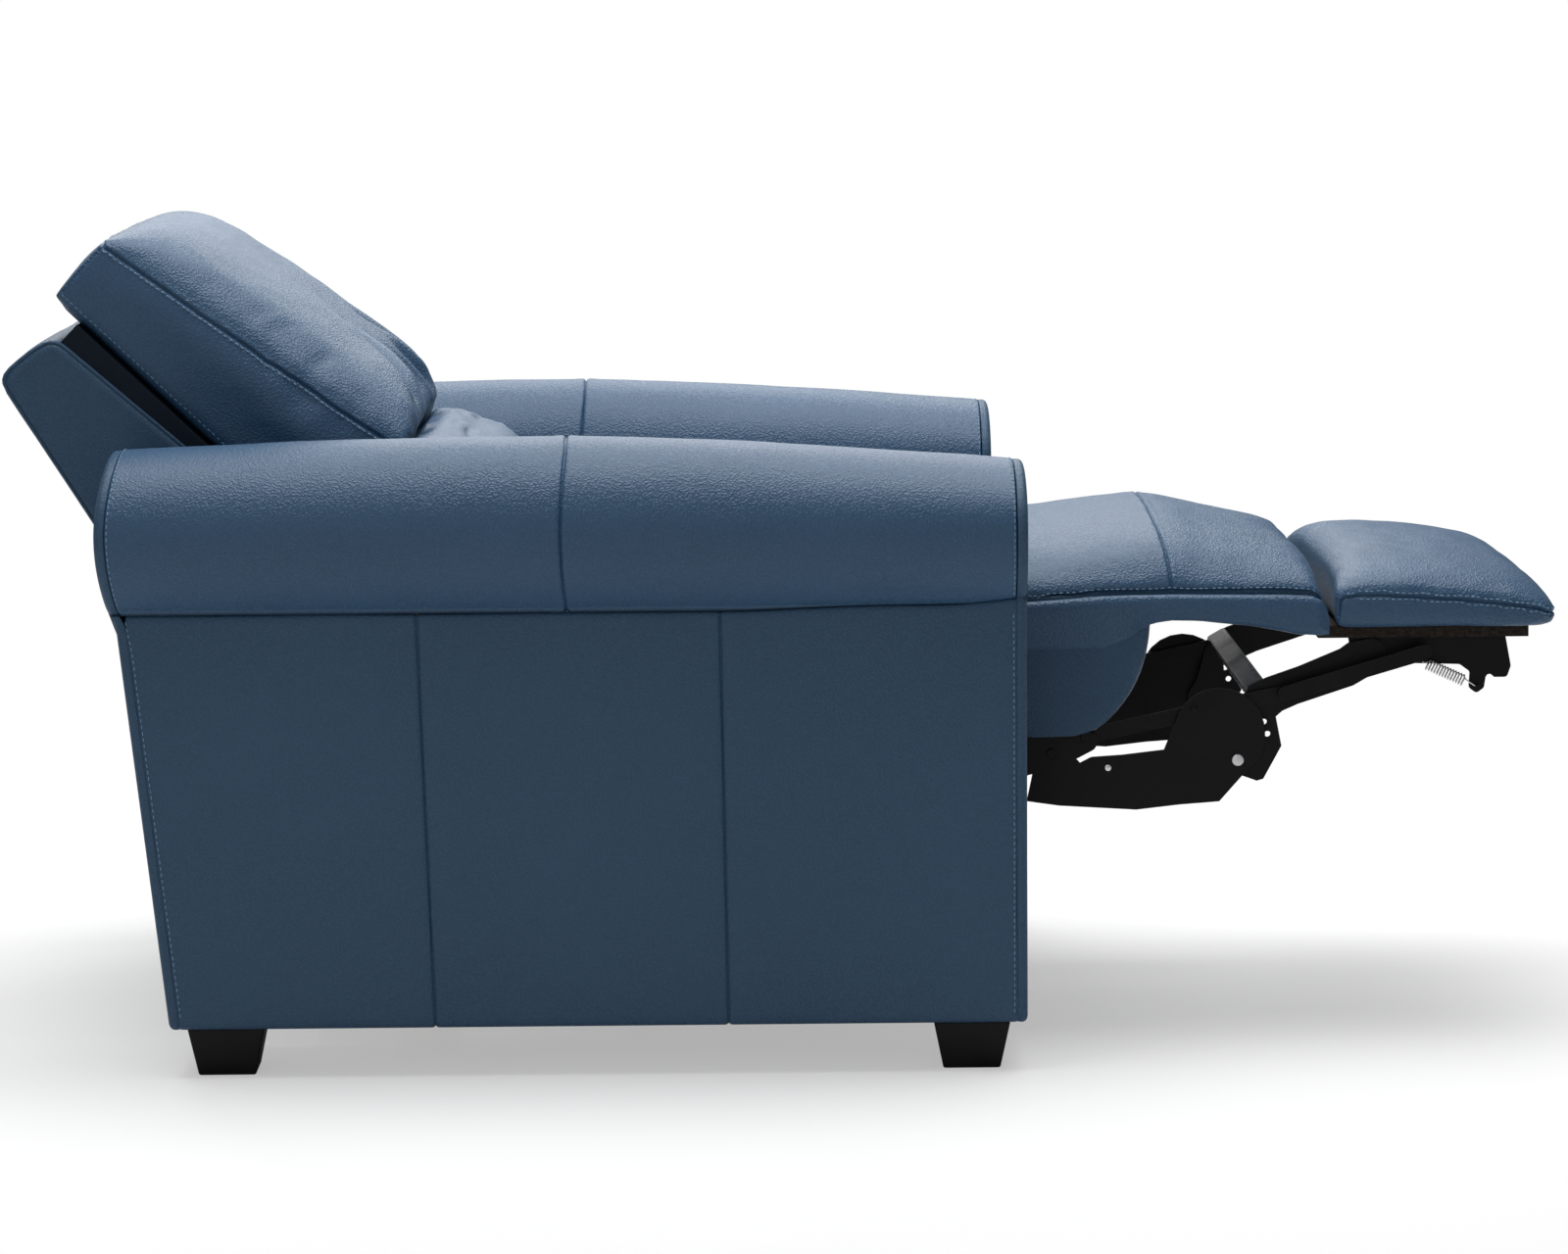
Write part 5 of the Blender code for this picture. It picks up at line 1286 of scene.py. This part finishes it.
@dataclass
class Footrest:
    """The footrest's pad over its board."""

    start: float = 0.5655
    end: float = 0.8085
    half: float = 0.275
    low: float = 0.4272
    shape: tuple = (
        (0.000, -0.006, 0.002, 0.4600, 0.4760), (0.015, -0.001, 0.0, 0.4615, 0.4880),
        (0.05, 0.0, 0.0, 0.4640, 0.4940), (0.12, 0.0, 0.0, 0.4655, 0.4970),
        (0.30, 0.0, 0.0, 0.4650, 0.4980), (0.50, 0.0, 0.0, 0.4620, 0.4955),
        (0.65, 0.0, 0.0, 0.4590, 0.4915), (0.80, -0.001, 0.0, 0.4545, 0.4850),
        (0.90, -0.003, 0.0, 0.4500, 0.4775), (0.96, -0.007, 0.001, 0.4460, 0.4700),
        (0.99, -0.013, 0.002, 0.4430, 0.4625), (1.00, -0.021, 0.004, 0.4410, 0.4550),
    )
    seam_line: tuple = (
        (0.5665, 0.4400), (0.5690, 0.4540), (0.5800, 0.4615), (0.5950, 0.4632), (0.6370, 0.4622),
        (0.7126, 0.4565), (0.7600, 0.4515), (0.7850, 0.4475), (0.8000, 0.4430),
    )

    def build(self) -> None:
        """Makes the pad, its seam and its two rows of thread."""
        rings = []
        for k in range(61):
            share = 0.5 - 0.5 * math.cos(math.pi * k / 60)
            draw, lift, seam, top = table(self.shape, share)
            x = mix(self.start + SLACK, self.end - SLACK, share)
            half = self.half + draw - SLACK
            bottom = self.low + lift
            ring = [(x, y, z) for y, z in dome(half, seam, max(top - SLACK, seam + 0.004))]
            ring += [(x, -half, mix(seam, bottom + 0.006, j / 8)) for j in range(1, 9)]
            ring.append((x, -half + 0.002, bottom + 0.002))
            ring += [(x, mix(-half + 0.006, half - 0.006, j / 30), bottom) for j in range(31)]
            ring.append((x, half - 0.002, bottom + 0.002))
            ring += [(x, half, mix(bottom + 0.006, seam, j / 8)) for j in range(8)]
            rings.append(ring)
        piece = skin("footrest_top_pad", rings)
        swell(piece, voxel=0.0065, pressure=4.0, cap=0.0060)
        self.seat_on_board(piece)
        waver(piece, slow=0.0018, fine=0.0006, keep=lambda p: ease((p.z - 0.462) / 0.02))
        stitching = Stitching()
        ends = []
        for side in SIDES:
            line = [(x, side * (self.half + table(self.shape, self.share(x))[0]), z)
                    for x, z in self.seam_line]
            ends.append(line[-1])
            press(piece, line, depth=0.0028, width=0.0015, puff=0.0006)
            stitching.row(piece, [(x, y, z + 0.0052) for x, y, z in line[2:]])
            stitching.row(piece, [(x, y, z - 0.0044) for x, y, z in line[3:]])
        toe = [ends[0], (0.8090, -0.240, 0.4415), (0.8098, -0.15, 0.4415), (0.8100, 0.0, 0.4415),
               (0.8098, 0.15, 0.4415), (0.8090, 0.240, 0.4415), ends[1]]
        press(piece, toe, depth=0.0024, width=0.0015, puff=0.0005)
        stitching.row(piece, [(x, y, z + 0.0055) for x, y, z in toe])
        settle(piece, LEATHER, "footrest", "footrest_pad")
        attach(stitching.sewn("footrest_stitching"), "footrest")

    def share(self, x: float) -> float:
        """How far along the pad a place lies."""
        return (x - self.start) / (self.end - self.start)

    def seat_on_board(self, piece: bpy.types.Object) -> None:
        """Lays the pad's underside flat on the board's top."""
        for vertex in piece.data.vertices:
            vertex.co.z = max(vertex.co.z, self.low)
            vertex.co.x = max(vertex.co.x, self.start - 0.001)
        piece.data.update()


# --------------------------------------------------------------------------- back


@dataclass
class Back:
    """The reclining back: its main cushion, lumbar cushion, leather outer back and lining."""

    pivot: tuple[float, float] = (-0.310, 0.410)
    lean: float = math.radians(46.4)
    half: float = 0.268
    rear: float = -0.0388
    foot: float = 0.2048
    top: float = 0.5835
    seam_low: float = 0.0945
    seam_high: float = 0.0395
    seam_run: float = 0.379
    cushion: tuple = (
        (0.0, -0.004, 0.038, 0.008), (0.02, 0.0, 0.047, 0.012), (0.08, 0.0, 0.054, 0.013),
        (0.21, 0.0, 0.060, 0.010), (0.40, 0.0, 0.062, 0.006), (0.58, 0.0, 0.063, 0.003),
        (0.76, 0.0, 0.0615, 0.0), (0.86, 0.0, 0.056, 0.0), (0.92, 0.0, 0.047, 0.0),
        (0.96, 0.0, 0.034, 0.0), (0.985, 0.0, 0.020, 0.0), (1.0, -0.003, 0.008, 0.0),
    )
    lumbar: tuple = (
        (0.0, -0.014, 0.085, 0.096), (0.03, -0.004, 0.092, 0.118), (0.12, 0.0, 0.096, 0.138),
        (0.33, 0.0, 0.098, 0.153), (0.60, 0.0, 0.097, 0.1545), (0.80, 0.0, 0.096, 0.149),
        (0.93, 0.0, 0.096, 0.145), (1.0, -0.004, 0.095, 0.130),
    )

    def build(self) -> None:
        """Makes the back's pieces."""
        stitching = Stitching()
        self.main_cushion(stitching)
        self.lumbar_cushion()
        self.outer()
        self.lining()
        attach(stitching.sewn("back_stitching"), "back")

    def at(self, y: float, up: float, out: float) -> Point:
        """A place from its height along the back and its depth towards the front."""
        sine, cosine = math.sin(self.lean), math.cos(self.lean)
        x, z = self.pivot
        return (x - sine * up + cosine * out, y, z + cosine * up + sine * out)

    def up_out(self, p: Vector) -> tuple[float, float]:
        """Height along the back and depth of a point."""
        sine, cosine = math.sin(self.lean), math.cos(self.lean)
        dx, dz = p.x - self.pivot[0], p.z - self.pivot[1]
        return cosine * dz - sine * dx, cosine * dx + sine * dz

    def section(self, up: float, half: float, seam: float, front: float, valley: float) -> Ring:
        """One level of a cushion: crown, sides drawn in towards the rear, flat rear."""
        ring = [self.at(y, up, out) for y, out in dome(half, seam, front, valley)]
        for k in range(1, 11):
            out = mix(seam, self.rear + 0.009, k / 10)
            bow = 0.003 * math.sin(math.pi * k / 10)
            ring.append(self.at(-half - bow, up, out))
        ring.append(self.at(-half + 0.0025, up, self.rear + 0.0025))
        ring += [self.at(mix(-half + 0.008, half - 0.008, k / 30), up, self.rear)
                 for k in range(31)]
        ring.append(self.at(half - 0.0025, up, self.rear + 0.0025))
        for k in range(10):
            out = mix(self.rear + 0.009, seam, k / 10)
            ring.append(self.at(half + 0.003 * math.sin(math.pi * k / 10), up, out))
        return ring

    def held(self, piece: bpy.types.Object, low: float, high: float) -> None:
        """Keeps a swollen cushion between two levels, off the frame and off the arms."""
        for vertex in piece.data.vertices:
            up, out = self.up_out(vertex.co)
            y = max(-0.2735, min(0.2735, vertex.co.y))
            vertex.co = Vector(self.at(y, min(max(up, low), high), max(out, self.rear)))
        piece.data.update()

    def seam_out(self, up: float) -> float:
        """Depth of the upper cushion's side seam at a height."""
        return mix(self.seam_low, self.seam_high, (up - self.foot) / self.seam_run)

    def main_cushion(self, stitching: Stitching) -> None:
        """The upper cushion with a boxed edge, rows of thread and tucks at its foot."""
        rings = []
        for k in range(61):
            share = k / 60
            draw, crown, valley = table(self.cushion, share)
            seam = mix(self.seam_low, self.seam_high, share)
            up = mix(self.foot + SLACK, self.top - SLACK, share)
            half = self.half + draw - SLACK
            rings.append(self.section(up, half, seam, seam + crown - SLACK, valley))
        piece = skin("back_top_cushion", rings)
        swell(piece, voxel=0.0068, pressure=4.0, cap=0.0065)
        self.held(piece, self.foot, 0.590)
        waver(piece, slow=0.0022, fine=0.0007,
              keep=lambda p: ease((self.up_out(p)[1] - 0.06) / 0.03))
        levels = (0.215, 0.28, 0.35, 0.42, 0.49, 0.55)
        for side in SIDES:
            y = side * (self.half + 0.001)
            line = [self.at(y, up, self.seam_out(up)) for up in (*levels, 0.579)]
            press(piece, line, depth=0.0028, width=0.0015, puff=0.0007)
            shift = [self.at(y, up, self.seam_out(up) - 0.0055) for up in (*levels, 0.572)]
            stitching.row(piece, shift)
            edge = [self.at(y, up, self.rear + 0.006) for up in (0.22, 0.32, 0.42, 0.52, 0.575)]
            stitching.row(piece, edge)
            end = [self.at(side * 0.2665, 0.5825, out) for out in (0.040, 0.015, -0.010, -0.030)]
            press(piece, end, depth=0.0022, width=0.0015, puff=0.0005)
            tuck = [self.at(side * 0.165, 0.206, 0.135), self.at(side * 0.125, 0.26, 0.145),
                    self.at(side * 0.060, 0.36, 0.140)]
            press(piece, tuck, depth=0.0070, width=0.0110, puff=0.0024, fade=0.06)
            tuck = [self.at(side * 0.090, 0.206, 0.137), self.at(side * 0.075, 0.245, 0.145),
                    self.at(side * 0.045, 0.300, 0.145)]
            press(piece, tuck, depth=0.0045, width=0.0075, puff=0.0018, fade=0.04)
        across = [self.at(y, 0.5825, 0.0410 + 0.003 * (1 - (y / self.half) ** 2))
                  for y in (-0.264, -0.16, 0.0, 0.16, 0.264)]
        press(piece, across, depth=0.0026, width=0.0015, puff=0.0005)
        settle(piece, LEATHER, "back", "back_cushion")

    def lumbar_cushion(self) -> None:
        """The lower cushion, creased where the back bends."""
        inset = 0.003
        rings = []
        for k in range(41):
            share = k / 40
            draw, seam, front = table(self.lumbar, share)
            up = mix(0.022 + inset, 0.2040 - inset, share)
            rings.append(self.section(up, self.half + draw - inset, seam, front - inset, 0.0))
        piece = skin("back_lumbar_cushion", rings)
        swell(piece, voxel=0.0068, pressure=4.0, cap=0.0060)
        self.held(piece, 0.018, 0.2042)
        waver(piece, slow=0.0012, fine=0.0005,
              keep=lambda p: ease((self.up_out(p)[1] - 0.09) / 0.03))
        for side in SIDES:
            y = side * (self.half + 0.001)
            press(piece, [self.at(y, up, 0.097) for up in (0.03, 0.08, 0.14, 0.20)],
                  depth=0.0034, width=0.0026, puff=0.0008)
            for start, end, high, dip in ((0.02, 0.12, 0.188, 0.006), (0.05, 0.20, 0.172, -0.008),
                                          (0.10, 0.24, 0.150, 0.010)):
                fold = [self.at(side * mix(start, end, s), high + dip * s * (1.6 - s), 0.152)
                        for s in (0.0, 0.35, 0.7, 1.0)]
                press(piece, fold, depth=0.0018, width=0.0048, puff=0.0010, fade=0.03)
        settle(piece, LEATHER, "back", "lumbar_cushion")

    def outline(self) -> list[tuple[float, float]]:
        """The outer back in side view, as (up, out) from the rear foot round to the front foot."""
        rear = [(mix(0.073, 0.545, k / 40), mix(-0.2604, -0.1405, k / 40)) for k in range(41)]
        crown = [
            (0.5500, -0.1386), (0.5545, -0.1367), (0.5580, -0.1335), (0.5604, -0.1285),
            (0.5612, -0.1200), (0.5603, -0.1080), (0.5585, -0.0950), (0.5562, -0.0850),
            (0.5535, -0.0765), (0.5500, -0.0700), (0.5450, -0.0655), (0.5390, -0.0630),
        ]
        front = [(up, -0.054 - 0.049 * (up - 0.3671)) for up in
                 (mix(0.532, 0.073, k / 40) for k in range(41))]
        return rear + crown + front

    def outer(self) -> None:
        """The padded leather outer back, its side panels edged by a sunk seam."""
        loop = self.outline()
        steps = [
            (0.2674, 0.0125), (0.2677, 0.0110), (0.2677, 0.0095), (0.2674, 0.0075),
            (0.2664, 0.0052), (0.2642, 0.0042), (0.2660, 0.0032), (0.2662, 0.0020),
            (0.2652, 0.0009), (0.2630, 0.0002), (0.2590, 0.0), (0.2500, 0.0),
        ]
        inner = [(mix(0.240, -0.240, k / 32), 0.0) for k in range(33)]
        marks = steps + inner + [(-y, inset) for y, inset in reversed(steps)]
        rings = []
        for y, inset in marks:
            full = 1 - (abs(y) / self.half) ** 6
            ring = []
            for (up, out), (far_up, far_out) in zip(offset_loop(loop, inset), loop):
                swell_out = 0.0030 * full if far_out < -0.1386 and far_up > 0.09 else 0.0
                lift = 0.0020 * full if far_up > 0.55 else 0.0
                ring.append(self.at(y, up + lift, out - swell_out))
            rings.append(ring)
        piece = skin("outer_back_leather", rings, capped=False)
        with edited(piece.data) as bm:
            bmesh.ops.holes_fill(bm, edges=[e for e in bm.edges if e.is_boundary], sides=0)
            bmesh.ops.triangulate(bm, faces=[f for f in bm.faces if len(f.verts) > 8])
            bmesh.ops.recalc_face_normals(bm, faces=bm.faces)
        waver(piece, slow=0.0010, fine=0.0003, keep=lambda p: 1.0 if abs(p.y) < 0.26 else 0.3)
        settle(piece, SIDE_LEATHER, "back", "outer_back")
        piece.data.materials.append(DUST_CLOTH.made())
        for face in piece.data.polygons:
            up, _ = self.up_out(face.center)
            if up < 0.0732 and abs(face.center.y) < 0.25:
                face.material_index = 1

    def lining(self) -> None:
        """A sheet over the frame between the outer back and the cushions, blue darkened to near
        black as painted shade in the gap.
        """
        rings = []
        half, near = 0.2636, -0.0392
        for up in [mix(0.084, 0.5400, k / 24) for k in range(25)]:
            far = -0.0700 + 0.02 * ease((0.15 - up) / 0.05)
            corner = [(half - 0.001, near), (half, near - 0.001)]
            ring = [self.at(y, up, out) for y, out in corner]
            ring += [self.at(half, up, mix(near - 0.002, far, k / 4)) for k in range(5)]
            ring += [self.at(mix(half, -half, k / 20), up, far) for k in range(1, 20)]
            ring += [self.at(-half, up, mix(far, near - 0.002, k / 4)) for k in range(5)]
            ring += [self.at(-y, up, out) for y, out in reversed(corner)]
            ring += [self.at(mix(-half + 0.004, half - 0.004, k / 20), up, near) for k in range(21)]
            rings.append(ring)
        piece = skin("back_lining", rings)
        rounded_faces(piece, 40.0)
        settle(piece, LINING_PAINTED_SHADE, "back")


# --------------------------------------------------------------------------- rivets and bolts


@dataclass(frozen=True)
class Head:
    """The head of one rivet or bolt on a plate's outer face."""

    node: str
    body: str
    x: float
    z: float
    radius: float
    height: float
    sides: int = 32
    painted: bool = False


@dataclass
class Rivets:
    """Zinc or painted heads on the linkage plates, each on the face it is driven through."""

    reach: float = 0.30
    sunk: float = 0.0004
    heads: tuple[Head, ...] = (
        Head("long_link", "long_links", 0.4720, 0.2860, 0.0064, 0.0030),
        Head("long_link", "long_links", 0.3360, 0.2790, 0.0037, 0.0020),
        Head("long_link", "long_links", 0.4265, 0.3400, 0.0040, 0.0016, 32, True),
        Head("footrest_bracket", "footrest", 0.6100, 0.4030, 0.0062, 0.0030, 6),
    )

    def build(self) -> None:
        """Makes every head on both sides of the chair."""
        for where in Where:
            for number, head in enumerate(self.heads, 1):
                self.head(where, head, number)

    def head(self, where: Where, head: Head, number: int) -> None:
        """One head with a rounded rim, laid on its plate.

        Args:
            where: the side of the chair.
            head: its place, size and plate.
            number: its number among the heads.
        """
        side = where.value
        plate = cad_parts[f"{where.word}_{head.node}"]
        mesh = plate.data
        spots = [plate.matrix_world @ v.co for v in mesh.vertices]
        tree = BVHTree.FromPolygons(spots, [p.vertices for p in mesh.polygons])
        start = Vector((head.x, side * self.reach, head.z))
        spot, _, _, _ = tree.ray_cast(start, Vector((0.0, -side, 0.0)))
        if spot is None:
            log.info("%s has no face for head %d", plate.name, number)
            return
        deselect()
        centre = spot.y + side * (head.height / 2 - self.sunk)
        bpy.ops.mesh.primitive_cylinder_add(
            vertices=head.sides, radius=head.radius, depth=head.height,
            location=(head.x, centre, head.z), rotation=(math.radians(-90.0 * side), 0.0, 0.0),
        )
        made = bpy.context.active_object
        made.name = f"{where.word}_{head.node}_head_{number}"
        bpy.ops.object.transform_apply(location=True, rotation=True, scale=True)
        applied(made, "BEVEL", width=0.38 * head.height, segments=3, limit_method="ANGLE")
        rounded_faces(made, 35.0)
        settle(made, STEEL if head.painted else ZINC, head.body)


# --------------------------------------------------------------------------- carried CAD nodes


@dataclass
class Metalwork:
    """Finishes for the CAD nodes that stay as they are."""

    finishes: dict[str, Finish] = field(default_factory=lambda: {
        "arm_frame": WOOD, "front_rail": WOOD, "rear_rail": WOOD, "track": STEEL,
        "recline_bracket": STEEL, "recline_motor": PLASTIC, "control_box": PLASTIC,
        "switch_plate": PLASTIC, "rocker": PLASTIC, "side_plate": STEEL, "tube": STEEL,
        "seat_rail": WOOD, "springs": ZINC, "recline_rod": ZINC, "footrest_motor": PLASTIC,
        "rollers": PLASTIC, "back_frame": WOOD, "back_bracket": STEEL, "recline_link": STEEL,
        "footrest_board": BOARD, "footrest_bracket": STEEL, "footrest_spring": ZINC,
        "long_link": STEEL, "torque_tube": STEEL, "bell_crank": STEEL, "crossbar": TUBE,
        "guide_links": STEEL, "board_links": STEEL, "foot": PLASTIC,
    })

    def dress(self) -> None:
        """Gives each node the finish of its kind."""
        for name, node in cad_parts.items():
            kind = max((kind for kind in self.finishes if name.endswith(kind)), key=len, default="")
            finish = self.finishes.get(kind, LEATHER)
            finish.dress(node)
            log.info("%s: %s", name, finish.name)


def main() -> None:
    """Builds the studio and the chair, piece by piece."""
    logging.basicConfig(level=logging.INFO, format="%(message)s")
    for group in (pebbled_grain, worn_paint, long_fibres):
        group()
    Studio().build()
    Metalwork().dress()
    Arms().build()
    Seat().build()
    Footrest().build()
    Back().build()
    Rivets().build()


if __name__ == "__main__":
    main()
